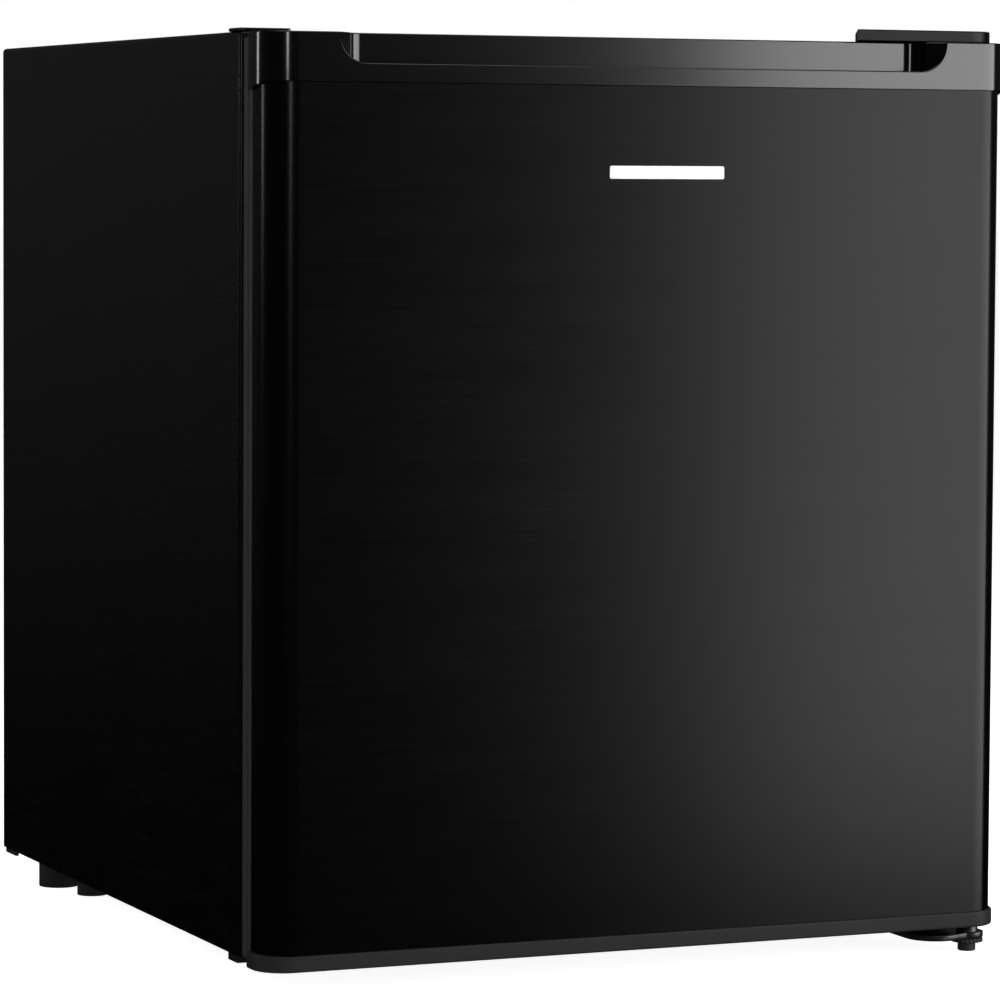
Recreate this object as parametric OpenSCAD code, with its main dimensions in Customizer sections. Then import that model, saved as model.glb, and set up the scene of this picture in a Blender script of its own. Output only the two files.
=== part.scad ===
// Compact refrigerator with one door, a finger scoop along the door's top edge,
// a small ice compartment, and a hermetic compressor in a bay at the lower back.
// +Z is up, the door faces -Y, and the hinges are on the +X side.
// The origin is on the floor, under the middle of the whole refrigerator.

/* [Cabinet] */
// Width across the two side sheets
cabinet_w = 436; // [430:1:450]
// Height of the cabinet top above the floor
cabinet_top = 503; // [500:1:515]
// Depth of the cabinet, from its front flange to its back sheet
cabinet_depth = 418; // [415:1:430]
// Gap between the cabinet and the floor
cabinet_lift = 20; // [20:1:22]
// Thickness of the steel sheets
sheet = 0.8; // [0.6:0.1:1]
// Width of the flange folded in around the cabinet front
flange = 14; // [12:1:16]

/* [Insulation] */
// Thickness of each side wall with its foam
side_wall = 38; // [36:1:40]
// Thickness of the ceiling and of the floor with their foam
roof_wall = 38; // [36:1:40]
// Thickness of the back wall with its foam
back_wall = 43; // [40:1:46]
// Thickness of the moulded inner liner
liner_t = 1.5; // [1:0.1:2]

/* [Compressor bay] */
// Depth of the bay, measured from the back sheet
bay_depth = 131; // [128:1:134]
// Height of the bay ceiling above the floor
bay_top = 150; // [148:1:154]

/* [Door] */
// Width of the door's painted panel, a little less than the cabinet's
door_w = 431; // [429:0.5:432]
// Thickness of the door behind its front face
door_t = 25.5; // [25:0.1:27]
// Thickness of the magnetic seal between the door and the cabinet
seal_t = 12.5; // [12:0.1:14]
// Radius of the door's two upright front corners
corner_r = 17; // [14:1:18]
// Height of the moulded cap along the top of the door
top_cap_h = 26; // [25:1:28]
// Height of the moulded cap along the bottom of the door
bottom_cap_h = 9; // [8:1:11]
// How far each cap stands out past the painted panel's side
cap_lip = 2.5; // [2:0.1:3]
// How far the top cap reaches down beside the panel at the door's back
cap_skirt = 4; // [2:0.5:5]
// Gap between the door and the floor
door_lift = 16; // [16:1:17]

/* [Finger scoop] */
// Width of the scoop at the top edge of the door
scoop_w = 354; // [330:1:356]
// Depth of the cut in the scoop's front wall, which is also its end radius
scoop_cut = 16; // [12:1:16]
// Distance from the door's front to the scoop's back wall
scoop_depth = 17.5; // [14:0.5:17.5]

/* [Hinges] */
// Distance of the hinge line from the middle of the cabinet
hinge_x = 206; // [205:0.5:207]
// Distance of the hinge line behind the door's front face
hinge_back = 19.5; // [19:0.5:20]
// Radius of both hinge pins
pin_r = 2.5; // [2:0.1:2.5]
// Play between a pin and its bush
play = 0.05; // [0.02:0.01:0.08]

/* [Inside] */
// Height of the sliding wire shelf above the floor
shelf_z = 226; // [224:1:230]
// Height of the ice compartment's floor
ice_z = 352; // [350:1:353]
// Width of the ice compartment
ice_w = 236; // [220:1:238]
// Distance from the door's front to the ice compartment's front frame
ice_back = 162; // [162:1:170]
// Heights of the two door racks
rack_z = [95, 264];
// Length of each door rack
rack_w = 289; // [260:1:290]

/* [Feet] */
// Radius of a front foot's turning flange
foot_r = 9; // [8:0.5:10]
// Radius of the thread on a front foot
thread_r = 3.95; // [3.5:0.05:3.95]

/* [Hidden] */
$fn = 40;

badge_t = 0.6;
spacer_d = 14;
depth_all = badge_t + door_t + seal_t + cabinet_depth + spacer_d;
half_w = cabinet_w / 2;
door_half = door_w / 2;
// Planes across the depth: door face, door back, cabinet front, cabinet back
face_y = badge_t - depth_all / 2;
door_y = face_y + door_t;
cab_y = door_y + seal_t;
back_y = cab_y + cabinet_depth;

// Heights of the door and of its caps
door_top = cabinet_top - 0.4;
panel_top = door_top - top_cap_h;
panel_foot = door_lift + bottom_cap_h;

// The cold space inside the liner
cold_w = half_w - side_wall;
cold_floor = cabinet_lift + roof_wall;
cold_roof = cabinet_top - roof_wall;
cold_back = back_y - back_wall;
bay_y = back_y - bay_depth;
hump_y = bay_y - 45;
hump_z = bay_top + 40;

// The liner's raised dyke on the inside of the door
dyke_w = 24;
dyke_x = cold_w - 10;
dyke_foot = cold_floor + 10;
dyke_top = cold_roof - 25;
dyke_tip = door_y + 34.5;

hinge_y = face_y + hinge_back;
hinge_arm_r = 4.8;
bush_r = 4.5;
plate_t = 2.5;
lower_plate_z = 8;
lower_plate_t = 3;
foot_left = [-168, cab_y + 56];
rear_foot_at = [194, back_y - 35];

// The ice compartment: its left side is near the liner's left wall
ice_x = [-cold_w + 4, -cold_w + 4 + ice_w];
ice_top = cold_roof - 5;
ice_y = face_y + ice_back;
flap_hinge_y = ice_y - 3.5;
flap_hinge_z = ice_top - 5;
flap_pin_r = 2;
rail_h = 12;
tray_top = ice_z - 6;

knob_at = [ice_x[1] + 64, ice_y + 6, cold_roof - 45];
shaft_r = 3;
compressor_at = [-60, back_y - 63];
compressor_r = 56;
tube_r = 2.4;
condenser_y = back_y + 7;
condenser_half = 165;
condenser_top = cabinet_top - 35;
condenser_pitch = 28;
condenser_runs = 10;

// Points of an arc about c, from angle a0 to angle a1
function arc(c, r, a0, a1, n = 8) =
    [for (i = [0:n]) c + r * [cos(a0 + (a1 - a0) * i / n), sin(a0 + (a1 - a0) * i / n)]];

// A rectangle with round corners
function rounded(lo, hi, r) = concat(
    arc([lo.x + r, lo.y + r], r, 180, 270), arc([hi.x - r, lo.y + r], r, 270, 360),
    arc([hi.x - r, hi.y - r], r, 0, 90), arc([lo.x + r, hi.y - r], r, 90, 180));

// The door seen from above: round at the front, square at the back
function door_plan(half, y0, y1, r) = concat(
    arc([-half + r, y0 + r], r, 180, 270), arc([half - r, y0 + r], r, 270, 360),
    [[half, y1], [-half, y1]]);

module slab(lo, hi) {
    translate(lo) cube(hi - lo);
}

// Extrudes an outline drawn in X and Z along Y
module along_y(y0, y1) {
    translate([0, y1, 0]) rotate([90, 0, 0]) linear_extrude(y1 - y0) children();
}

// Extrudes an outline drawn in Y and Z along X
module along_x(x0, x1) {
    translate([x0, 0, 0]) rotate([90, 0, 90]) linear_extrude(x1 - x0) children();
}

module along_z(z0, z1) {
    translate([0, 0, z0]) linear_extrude(z1 - z0) children();
}

// An open box: a slab with its inside taken out from above
module tray(lo, hi, wall) {
    difference() {
        slab(lo, hi);
        slab(lo + [wall, wall, wall], [hi.x - wall, hi.y - wall, hi.z + 1]);
    }
}

module rod(from, length, r) {
    translate(from) cylinder(h = length, r = r);
}

module rod_x(from, length, r) {
    translate(from) rotate([0, 90, 0]) cylinder(h = length, r = r);
}

// A bent tube: rings square to the path, kept upright by a reference direction
function unit(v) = v / norm(v);
function heading(path, i) =
    unit(path[min(i + 1, len(path) - 1)] - path[max(i - 1, 0)]);
function ring(path, i, r, side, sides) =
    let (u = unit(cross(heading(path, i), side)), v = unit(cross(heading(path, i), u)))
    [for (k = [0:sides - 1]) path[i] + r * (cos(360 * k / sides) * u + sin(360 * k / sides) * v)];
module tube(path, r, side, sides = 8) {
    n = len(path);
    points = [for (i = [0:n - 1]) each ring(path, i, r, side, sides)];
    skin = [for (i = [0:n - 2]) for (k = [0:sides - 1]) let (j = (k + 1) % sides)
        [i * sides + k, i * sides + j, (i + 1) * sides + j, (i + 1) * sides + k]];
    ends = [[for (k = [sides - 1:-1:0]) k], [for (k = [0:sides - 1]) (n - 1) * sides + k]];
    polyhedron(points, concat(skin, ends), convexity = 10);
}

// ---------------------------------------------------------------- cabinet

module side_sheet(side) {
    wall = half_w - sheet;
    near = min(side * wall, side * half_w);
    lip = min(side * half_w, side * (half_w - flange));
    color("#151515") union() {
        slab([near, cab_y, cabinet_lift], [near + sheet, back_y, cabinet_top]);
        slab([lip, cab_y, cabinet_lift], [lip + flange, cab_y + sheet, cabinet_top]);
    }
}

module side_sheet_left() {
    side_sheet(-1);
}

module side_sheet_right() {
    side_sheet(1);
}

hinge_screw_xs = [176, 190, 204];
hinge_screw_y = cab_y + 20;

module top_sheet() {
    w = half_w - sheet;
    color("#151515") difference() {
        union() {
            slab([-w, cab_y + sheet, cabinet_top - sheet], [w, back_y, cabinet_top]);
            slab([flange - half_w, cab_y, cabinet_top - flange],
                [half_w - flange, cab_y + sheet, cabinet_top]);
        }
        for (x = hinge_screw_xs) rod([x, hinge_screw_y, cabinet_top - 5], 10, 2);
    }
}

module back_sheet() {
    w = half_w - sheet;
    color("#26282a")
        slab([-w, back_y - sheet, bay_top], [w, back_y, cabinet_top - sheet]);
}

module base_sheet() {
    w = half_w - sheet;
    color("#202020") union() {
        slab([-w, cab_y + sheet, cabinet_lift], [w, bay_y, cabinet_lift + sheet]);
        slab([flange - half_w, cab_y, cabinet_lift],
            [half_w - flange, cab_y + sheet, cabinet_lift + flange]);
    }
}

drain_at = [40, back_y - 70];
drain_r = 6;

module bay_lining() {
    w = half_w - sheet;
    color("#5c6063") difference() {
        union() {
            slab([-w, bay_y, cabinet_lift], [w, bay_y + sheet, bay_top]);
            slab([-w, bay_y, bay_top - sheet], [w, back_y, bay_top]);
        }
        rod([drain_at.x, drain_at.y, bay_top - 5], 10, drain_r);
    }
}

// The cold space, grown by g on every side but the front
module cold_space(g) {
    along_x(-cold_w - g, cold_w + g) polygon([
        [cab_y - 1, cold_floor - g], [hump_y + g, cold_floor - g], [hump_y + g, hump_z - g],
        [cold_back + g, hump_z - g], [cold_back + g, cold_roof + g], [cab_y - 1, cold_roof + g]
    ]);
}

module cabinet_foam() {
    w = half_w - sheet;
    color("#e4d9a8") difference() {
        slab([-w, cab_y + sheet, cabinet_lift + sheet], [w, back_y - sheet, cabinet_top - sheet]);
        cold_space(liner_t);
        slab([-half_w, bay_y, 0], [half_w, back_y + 1, bay_top]);
        rod([drain_at.x, drain_at.y, bay_top - 1], 60, drain_r);
        for (x = hinge_screw_xs) rod([x, hinge_screw_y, cabinet_top - 8], 10, 2);
    }
}

ledge_w = 6;
shelf_t = 5;

module shelf_ledge(side, z0) {
    near = min(side * cold_w, side * (cold_w - ledge_w));
    slab([near, face_y + 112, z0], [near + ledge_w, cold_back - 8, z0 + 4]);
}

module inner_liner() {
    color("#eef1f2") difference() {
        union() {
            difference() {
                cold_space(liner_t);
                slab([-half_w, cab_y - 2, 0], [half_w, cab_y, cabinet_top]);
            }
            slab([flange - half_w, cab_y, cabinet_lift + flange],
                [half_w - flange, cab_y + sheet, cabinet_top - flange]);
        }
        difference() {
            cold_space(0);
            for (side = [-1, 1]) {
                shelf_ledge(side, shelf_z - 4);
                shelf_ledge(side, shelf_z + shelf_t + 1);
            }
        }
        rod([drain_at.x, drain_at.y, hump_z - 5], 10, drain_r - 1.5);
    }
}

module base_rail() {
    color("#111111") difference() {
        union() {
            slab([-half_w + 0.5, cab_y + 2, 16], [half_w - 2, cab_y + 16, cabinet_lift]);
            slab([-half_w + 22, cab_y + 2, 16], [half_w - 2, cab_y + 66, cabinet_lift]);
        }
        rod([foot_left.x, foot_left.y, 10], 20, thread_r + play);
        for (x = lower_screw_xs) rod([x, lower_screw_y, 10], 20, 2);
    }
}

tray_z = 14.5;
tray_t = 2;
grommet_at = [66, 42];

module compressor_tray() {
    side_x = half_w - sheet;
    floor_x = half_w - 20;
    color("#303234") difference() {
        union() {
            slab([-floor_x, bay_y - 2, tray_z], [floor_x, back_y + 3, tray_z + tray_t]);
            slab([-floor_x, bay_y - 2, tray_z], [floor_x, bay_y, cabinet_lift]);
            for (side = [-1, 1]) {
                along_y(bay_y + sheet, back_y - 2) polygon([
                    [side * floor_x, tray_z], [side * floor_x, cabinet_lift], [side * side_x, cabinet_lift],
                    [side * side_x, 32], [side * (side_x - tray_t), 32],
                    [side * (side_x - tray_t), cabinet_lift + tray_t],
                    [side * (floor_x - tray_t), cabinet_lift + tray_t], [side * (floor_x - tray_t), tray_z]
                ]);
                slab([side * (side_x - 1) - 1, back_y - 22, 17], [side * (side_x - 1) + 1, back_y - 2, 21]);
            }
        }
        for (sx = [-1, 1], sy = [-1, 1])
            rod([compressor_at.x + sx * grommet_at.x, compressor_at.y + sy * grommet_at.y, 10], 10, 4);
    }
}

module rear_foot(side) {
    color("#141414") union() {
        rod([side * rear_foot_at.x, rear_foot_at.y, 0], tray_z, 12);
        rod([side * (rear_foot_at.x - 8), rear_foot_at.y - 40, 0], tray_z, 9);
        slab([side * (rear_foot_at.x - 4) - 6, rear_foot_at.y - 40, 9],
            [side * (rear_foot_at.x - 4) + 6, rear_foot_at.y, tray_z]);
    }
}

module rear_foot_left() {
    rear_foot(-1);
}

module rear_foot_right() {
    rear_foot(1);
}

module wall_spacers() {
    color("#1c1c1c") for (side = [-1, 1])
        along_y(back_y, back_y + spacer_d)
            polygon(rounded([side * 196 - 9, cabinet_top - 60], [side * 196 + 9, cabinet_top - 24], 5));
}

module hinge_blank_left() {
    color("#121212") along_z(cabinet_top, cabinet_top + 2)
        polygon(rounded([-half_w + 0.6, cab_y + 0.5], [-half_w + 29, cab_y + 20], 2));
}

// ---------------------------------------------------------------- hinges

module upper_hinge() {
    plan = concat(arc([hinge_x, hinge_y], hinge_arm_r, 180, 360), [
        [hinge_x + hinge_arm_r, cab_y + 28], [166, cab_y + 28], [166, cab_y + 8],
        [hinge_x - 14, cab_y + 2]
    ]);
    color("#8f9396") difference() {
        union() {
            along_z(cabinet_top, cabinet_top + plate_t) polygon(plan);
            rod([hinge_x, hinge_y, cabinet_top - 12], 12 + plate_t, pin_r);
            rod([hinge_x, hinge_y, cabinet_top + plate_t], 1.5, pin_r + 1.3);
        }
        for (x = hinge_screw_xs) rod([x, hinge_screw_y, cabinet_top - 1], 10, 2);
    }
}

// A pan-head screw that hangs down from its head
module screw(at, length, head = 4) {
    rod([at.x, at.y, at.z - length], length, 1.95);
    difference() {
        rod(at, 2.2, head);
        for (a = [0, 90])
            translate([at.x, at.y, at.z + 1.6]) rotate([0, 0, a]) cube([head, 0.9, 1.4], center = true);
    }
}

module upper_hinge_screws() {
    color("#b5b8ba") for (x = hinge_screw_xs)
        screw([x, hinge_screw_y, cabinet_top + plate_t], plate_t + 7);
}

// The hinge cover from above, drawn smaller by g: its left side slants away behind the front
function cover_plan(g) =
    let(lo = [hinge_x - 79, hinge_y - 9.5], hi = [hinge_x + 10, cab_y + 34], slant = 31)
    concat([[lo.x + 1.6 * g, lo.y + g]], arc([hi.x - 18, lo.y + 18], 18 - g, 270, 360),
        arc(hi - [5, 5], 5 - g, 0, 90), [[lo.x + slant + 0.6 * g, hi.y - g]]);

module hinge_cover() {
    wall = 1.2;
    top = cabinet_top + 6.2;
    color("#1a1a1a") difference() {
        along_z(cabinet_top, top) polygon(cover_plan(0));
        along_z(cabinet_top - 1, top - wall) polygon(cover_plan(wall));
    }
}

lower_screw_xs = [178, 192, 206];
lower_screw_y = cab_y + 36;

module lower_hinge() {
    lug = [186.5, face_y + 23];
    lug_r = 16.5;
    z = lower_plate_z;
    t = lower_plate_t;
    plan = concat(arc(lug, lug_r, 180, 300), arc([hinge_x, hinge_y], foot_r, 240, 360),
        [[hinge_x + foot_r, cab_y + 46], [lug.x - lug_r, cab_y + 46]]);
    side = [
        [face_y, z], [cab_y + 10, z], [cab_y + 15, 13], [cab_y + 46, 13], [cab_y + 46, 16],
        [cab_y + 13.5, 16], [cab_y + 8.5, z + t], [face_y, z + t]
    ];
    color("#101010") difference() {
        union() {
            intersection() {
                along_z(0, 30) polygon(plan);
                along_x(lug.x - lug_r, hinge_x + foot_r) polygon(side);
            }
            rod([hinge_x, hinge_y, z + t], door_lift - 0.2 - z - t, 6);
            rod([hinge_x, hinge_y, z + t], door_lift + 8 - z - t, pin_r);
        }
        rod([hinge_x, hinge_y, 0], z + t, thread_r + play);
        for (x = lower_screw_xs) rod([x, lower_screw_y, 10], 10, 2);
    }
}

module lower_hinge_screws() {
    color("#b5b8ba") for (x = lower_screw_xs)
        translate([0, 0, 13]) mirror([0, 0, 1]) screw([x, lower_screw_y, 0], 6.8);
}

// A front foot: floor pad, turning flange and threaded stem
module front_foot(at, stem_top) {
    rod([at.x, at.y, 0], 5, 5);
    rod([at.x, at.y, 5], 2.4, foot_r);
    rod([at.x, at.y, 7.4], stem_top - 7.4, thread_r);
}

module front_foot_left() {
    color("#1b1b1b") front_foot(foot_left, cabinet_lift - 0.2);
}

module front_foot_right() {
    color("#1b1b1b") front_foot([hinge_x, hinge_y], lower_plate_z + lower_plate_t - 0.2);
}

// ---------------------------------------------------------------- ice compartment

module evaporator() {
    t = 1.4;
    y1 = ice_y + 222;
    color("#b9bec2") union() {
        along_y(ice_y + 8, y1) difference() {
            polygon(rounded([ice_x[0], ice_z], [ice_x[1], ice_top], 10));
            polygon(rounded([ice_x[0] + t, ice_z + t], [ice_x[1] - t, ice_top - t], 10 - t));
        }
        along_y(y1 - t, y1) polygon(rounded([ice_x[0], ice_z], [ice_x[1], ice_top], 10));
    }
}

module evaporator_hangers() {
    color("#f2f4f4") for (x = [ice_x[0] + 30, ice_x[1] - 30], y = [ice_y + 40, ice_y + 180])
        slab([x - 8, y - 8, ice_top], [x + 8, y + 8, cold_roof]);
}

module ice_frame() {
    ear = 5;
    color("#eef1f2") difference() {
        union() {
            along_y(ice_y, ice_y + 8) difference() {
                polygon(rounded([ice_x[0] - 2, ice_z - 3], [ice_x[1] + 2, cold_roof - 2], 4));
                polygon(rounded([ice_x[0] + 8, ice_z + 13], [ice_x[1] - 8, ice_top - 7], 6));
            }
            for (x = [ice_x[0] - 2, ice_x[1] + 2 - ear])
                slab([x, flap_hinge_y - 4, flap_hinge_z - 4], [x + ear, ice_y, flap_hinge_z + 4]);
        }
        rod_x([ice_x[0] - 5, flap_hinge_y, flap_hinge_z], ice_w + 10, flap_pin_r + play);
    }
}

module ice_flap() {
    x0 = ice_x[0] + 4;
    x1 = ice_x[1] - 4;
    grip = (x0 + x1) / 2;
    color("#dfeaf0") union() {
        slab([x0, flap_hinge_y - 2, ice_z + 9], [x1, flap_hinge_y + 2, flap_hinge_z + 2]);
        slab([grip - 30, flap_hinge_y - 6, ice_z + 16], [grip + 30, flap_hinge_y - 2, ice_z + 22]);
        rod_x([ice_x[0] - 1, flap_hinge_y, flap_hinge_z], ice_w + 2, flap_pin_r);
    }
}

module tray_rails() {
    y0 = ice_y + 8;
    y1 = ice_y + 222;
    color("#e8ebec") for (side = [0, 1]) {
        web = side == 0 ? ice_x[0] : ice_x[1] - 1.5;
        ledge = side == 0 ? ice_x[0] : ice_x[1] - 6.5;
        slab([web, y0, ice_z - rail_h], [web + 1.5, y1, ice_z]);
        slab([ledge, y0, tray_top - 3.6], [ledge + 6.5, y1, tray_top - 1.8]);
    }
}

module drip_tray() {
    y0 = ice_y + 4;
    y1 = ice_y + 214;
    lip = 1.6;
    color("#d8e6ee") difference() {
        union() {
            slab([ice_x[0] + 8, y0, ice_z - 24], [ice_x[1] - 8, y1, tray_top]);
            slab([ice_x[0] + 2, y0, tray_top - lip], [ice_x[1] - 2, y1, tray_top]);
        }
        slab([ice_x[0] + 10, y0 + 2, ice_z - 22], [ice_x[1] - 10, y1 - 2, tray_top + 1]);
    }
}

// ---------------------------------------------------------------- thermostat

module thermostat_housing() {
    wall = 2;
    lo = [ice_x[1] + 12, knob_at.y, cold_roof - 87];
    hi = [cold_w - 4, knob_at.y + 150, cold_roof];
    color("#f4f6f6") difference() {
        along_y(lo.y, hi.y) polygon(rounded([lo.x, lo.z], [hi.x, hi.z + 8], 7));
        slab([lo.x, lo.y - 1, cold_roof], [hi.x, hi.y + 1, cold_roof + 10]);
        slab([lo.x + wall, lo.y + wall, lo.z + wall + 4], [hi.x - wall, hi.y - wall, hi.z + 1]);
        translate([knob_at.x, lo.y - 1, knob_at.z]) rotate([-90, 0, 0]) cylinder(h = 4, r = shaft_r + play);
    }
}

module thermostat_switch() {
    y0 = knob_at.y + 2;
    color("#c9b37a") difference() {
        slab([knob_at.x - 24, y0, knob_at.z - 16], [knob_at.x + 24, y0 + 38, knob_at.z + 16]);
        translate([knob_at.x, y0 - 1, knob_at.z]) rotate([-90, 0, 0]) cylinder(h = 13, r = shaft_r + play);
    }
}

module thermostat_shaft() {
    color("#c4c7c9") translate([knob_at.x, knob_at.y - 10, knob_at.z]) rotate([-90, 0, 0])
        cylinder(h = 23, r = shaft_r);
}

module thermostat_knob() {
    color("#f4f6f6") translate([knob_at.x, knob_at.y - 0.4, knob_at.z]) rotate([90, 0, 0])
        difference() {
            union() {
                cylinder(h = 4, r = 19);
                cylinder(h = 15, r = 15.5);
                translate([-3, -17, 0]) cube([6, 34, 15]);
            }
            translate([0, 0, -1]) cylinder(h = 10.6, r = shaft_r);
        }
}

// ---------------------------------------------------------------- shelf

module wire_shelf() {
    x1 = cold_w - 2;
    y0 = face_y + 112;
    y1 = cold_back - 10;
    bar = 5;
    wires = 15;
    color("#dcdfe1") union() {
        difference() {
            slab([-x1, y0, shelf_z], [x1, y1, shelf_z + shelf_t]);
            slab([-x1 + bar, y0 + bar, shelf_z - 1], [x1 - bar, y1 - bar, shelf_z + shelf_t + 1]);
        }
        for (i = [1:wires])
            translate([-x1 + 2 * x1 * i / (wires + 1), y0 + 2, shelf_z + 3.5]) rotate([-90, 0, 0])
                cylinder(h = y1 - y0 - 4, r = 1.3);
        for (f = [0.33, 0.67])
            slab([-x1 + 2, y0 + f * (y1 - y0) - 2, shelf_z], [x1 - 2, y0 + f * (y1 - y0) + 2, shelf_z + 2.6]);
    }
}

// ---------------------------------------------------------------- compressor bay

module compressor() {
    r = compressor_r;
    z0 = tray_z + 14;
    z1 = 126;
    dome = 24;
    waist = (z0 + z1) / 2;
    profile = concat([[0, z0]], arc([r - dome, z0 + dome * 0.6], dome * 0.6, 270, 360, 5) + [for (i = [0:5]) [dome * 0.4, 0]],
        [[r, waist - 2], [r + 3, waist - 2], [r + 3, waist + 2], [r, waist + 2]],
        arc([r - dome, z1 - dome], dome, 0, 90), [[0, z1]]);
    color("#17191b") union() {
        translate([compressor_at.x, compressor_at.y, 0]) rotate_extrude() polygon(profile);
        slab([compressor_at.x - 76, compressor_at.y - 51, z0 - 2.5], [compressor_at.x + 76, compressor_at.y + 51, z0]);
    }
}

module compressor_grommets() {
    z0 = tray_z + tray_t;
    color("#2a2a2a") for (sx = [-1, 1], sy = [-1, 1])
        rod([compressor_at.x + sx * grommet_at.x, compressor_at.y + sy * grommet_at.y, z0],
            tray_z + 11.5 - z0, 8);
}

module terminal_cover() {
    x0 = compressor_at.x + compressor_r + 3.2;
    color("#1f2123") along_x(x0, x0 + 30)
        polygon(rounded([compressor_at.y - 24, 46], [compressor_at.y + 24, 104], 6));
}

module drain_tube() {
    color("#d9dcdd") difference() {
        rod([drain_at.x, drain_at.y, bay_top - 12], hump_z - liner_t - bay_top + 12, drain_r);
        rod([drain_at.x, drain_at.y, bay_top - 13], hump_z, drain_r - 1.5);
    }
}

module drain_water_pan() {
    color("#1e2022") tray([drain_at.x - 22, drain_at.y - 40, 112], [drain_at.x + 58, drain_at.y + 44, 134], 2);
}

// The condenser's bends alternate from side to side down the back
function condenser_run(i) = let (
    z = condenser_top - i * condenser_pitch, s = i % 2 == 0 ? 1 : -1, r = condenser_pitch / 2)
    concat([[-s * condenser_half, condenser_y, z], [s * condenser_half, condenser_y, z]],
        i == condenser_runs - 1 ? [] :
        [for (a = [30:30:150]) [s * (condenser_half + r * sin(a)), condenser_y, z - r + r * cos(a)]]);

module condenser_tube() {
    path = [for (i = [0:condenser_runs - 1]) each condenser_run(i)];
    color("#131415") tube(path, tube_r, [0, 1, 0]);
}

module condenser_wires() {
    wire_r = 0.8;
    columns = 22;
    z0 = condenser_top - (condenser_runs - 1) * condenser_pitch - 8;
    color("#131415") {
        for (i = [0:columns - 1], side = [-1, 1])
            translate([-condenser_half + 8 + i * (2 * condenser_half - 16) / (columns - 1),
                condenser_y + side * (tube_r + wire_r + 0.05), z0])
                cylinder(h = condenser_top + 8 - z0, r = wire_r, $fn = 8);
        for (x = [-150, 150], z = [z0 + 20, condenser_top - 18])
            slab([x - 6, back_y, z - 5], [x + 6, back_y + 2.8, z + 5]);
    }
}

module filter_drier() {
    at = [150, back_y - 28];
    color("#b87333") union() {
        rod([at.x, at.y, 40], 70, 8);
        rod([at.x, at.y, 30], 90, 2.5);
    }
}

module suction_tube() {
    x = compressor_at.x - compressor_r - 30;
    y = compressor_at.y;
    color("#b87333") tube([
        [x + 32, y + 20, 86], [x + 8, y + 20, 86], [x, y + 20, 90], [x - 4, y + 20, 98],
        [x - 4, y + 20, 120], [x - 4, y + 20, bay_top - 4]
    ], 3.2, [0, 1, 0]);
}

module cord_gland() {
    at = [120, back_y - 12, 60];
    color("#242628") difference() {
        union() {
            slab([at.x - 20, at.y - 34, tray_z + tray_t], [at.x + 20, at.y, 84]);
            translate(at) rotate([-90, 0, 0]) cylinder(h = 12, r = 9);
        }
        translate(at - [0, 20, 0]) rotate([-90, 0, 0]) cylinder(h = 40, r = 4);
    }
}

// ---------------------------------------------------------------- door

module door_panel() {
    hem = 8;
    color("#0d0d0d") difference() {
        along_z(panel_foot, panel_top) polygon(door_plan(door_half, face_y, door_y, corner_r));
        along_z(panel_foot - 1, panel_top + 1)
            polygon(door_plan(door_half - sheet, face_y + sheet, door_y - sheet, corner_r - sheet));
        slab([hem - door_half, face_y + corner_r, panel_foot - 1],
            [door_half - hem, door_y + 1, panel_top + 1]);
    }
}

// Boss holes for the pins, which both caps have at both ends
module pin_hole(side, z0, z1) {
    rod([side * hinge_x, hinge_y, z0], z1 - z0, bush_r);
}

module door_top_cap() {
    r = corner_r + 1;
    half = door_half + cap_lip;
    lip_half = scoop_w / 2 - scoop_cut;
    pocket_back = face_y + scoop_depth;
    color("#1d1d1d") difference() {
        union() {
            along_z(panel_top, door_top) polygon(door_plan(half, face_y, door_y, r));
            // The sides reach down a little beside the panel, more towards the back
            for (side = [-1, 1]) intersection() {
                along_z(panel_top - cap_skirt, panel_top + 1) polygon(door_plan(half, face_y, door_y, r));
                along_x(side < 0 ? -half : door_half + play, side < 0 ? -door_half - play : half) polygon([
                    [face_y + 8, panel_top], [face_y + 8, panel_top + 1], [door_y, panel_top + 1],
                    [door_y, panel_top - cap_skirt]
                ]);
            }
        }
        along_z(panel_top + 3, door_top + 1) polygon(concat(
            [[-scoop_w / 2, face_y + 1.6], [scoop_w / 2, face_y + 1.6]],
            arc([scoop_w / 2 - 16, pocket_back - 8], 8, 0, 90),
            arc([-scoop_w / 2 + 16, pocket_back - 8], 8, 90, 180)));
        along_y(face_y - 1, face_y + 4) polygon(concat(
            arc([-lip_half, door_top], scoop_cut, 180, 270), arc([lip_half, door_top], scoop_cut, 270, 360),
            [[lip_half + scoop_cut, door_top + 1], [-lip_half - scoop_cut, door_top + 1]]));
        for (side = [-1, 1]) pin_hole(side, door_top - 13, door_top + 1);
    }
}

module door_bottom_cap() {
    color("#2c2c2c") difference() {
        along_z(door_lift, panel_foot)
            polygon(door_plan(door_half + cap_lip, face_y, door_y, corner_r + 1));
        pin_hole(1, door_lift - 1, panel_foot + 1);
    }
}

// The dyke's ring on the door's inside, drawn smaller by g where foam fills it
module dyke(g) {
    along_y(door_y - sheet - 1.7, dyke_tip - g) difference() {
        polygon(rounded([-dyke_x + g, dyke_foot + g], [dyke_x - g, dyke_top - g], 10 - g));
        polygon(rounded([-dyke_x + dyke_w - g, dyke_foot + dyke_w - g],
            [dyke_x - dyke_w + g, dyke_top - dyke_w + g], 6 + g));
    }
}

module door_foam() {
    back = door_y - sheet - 1.7;
    color("#e4d9a8") union() {
        along_z(panel_foot, panel_top)
            polygon(door_plan(door_half - sheet, face_y + sheet, back, corner_r - sheet));
        dyke(1.7);
    }
}

rack_d = 65;
rack_h = 54;

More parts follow.
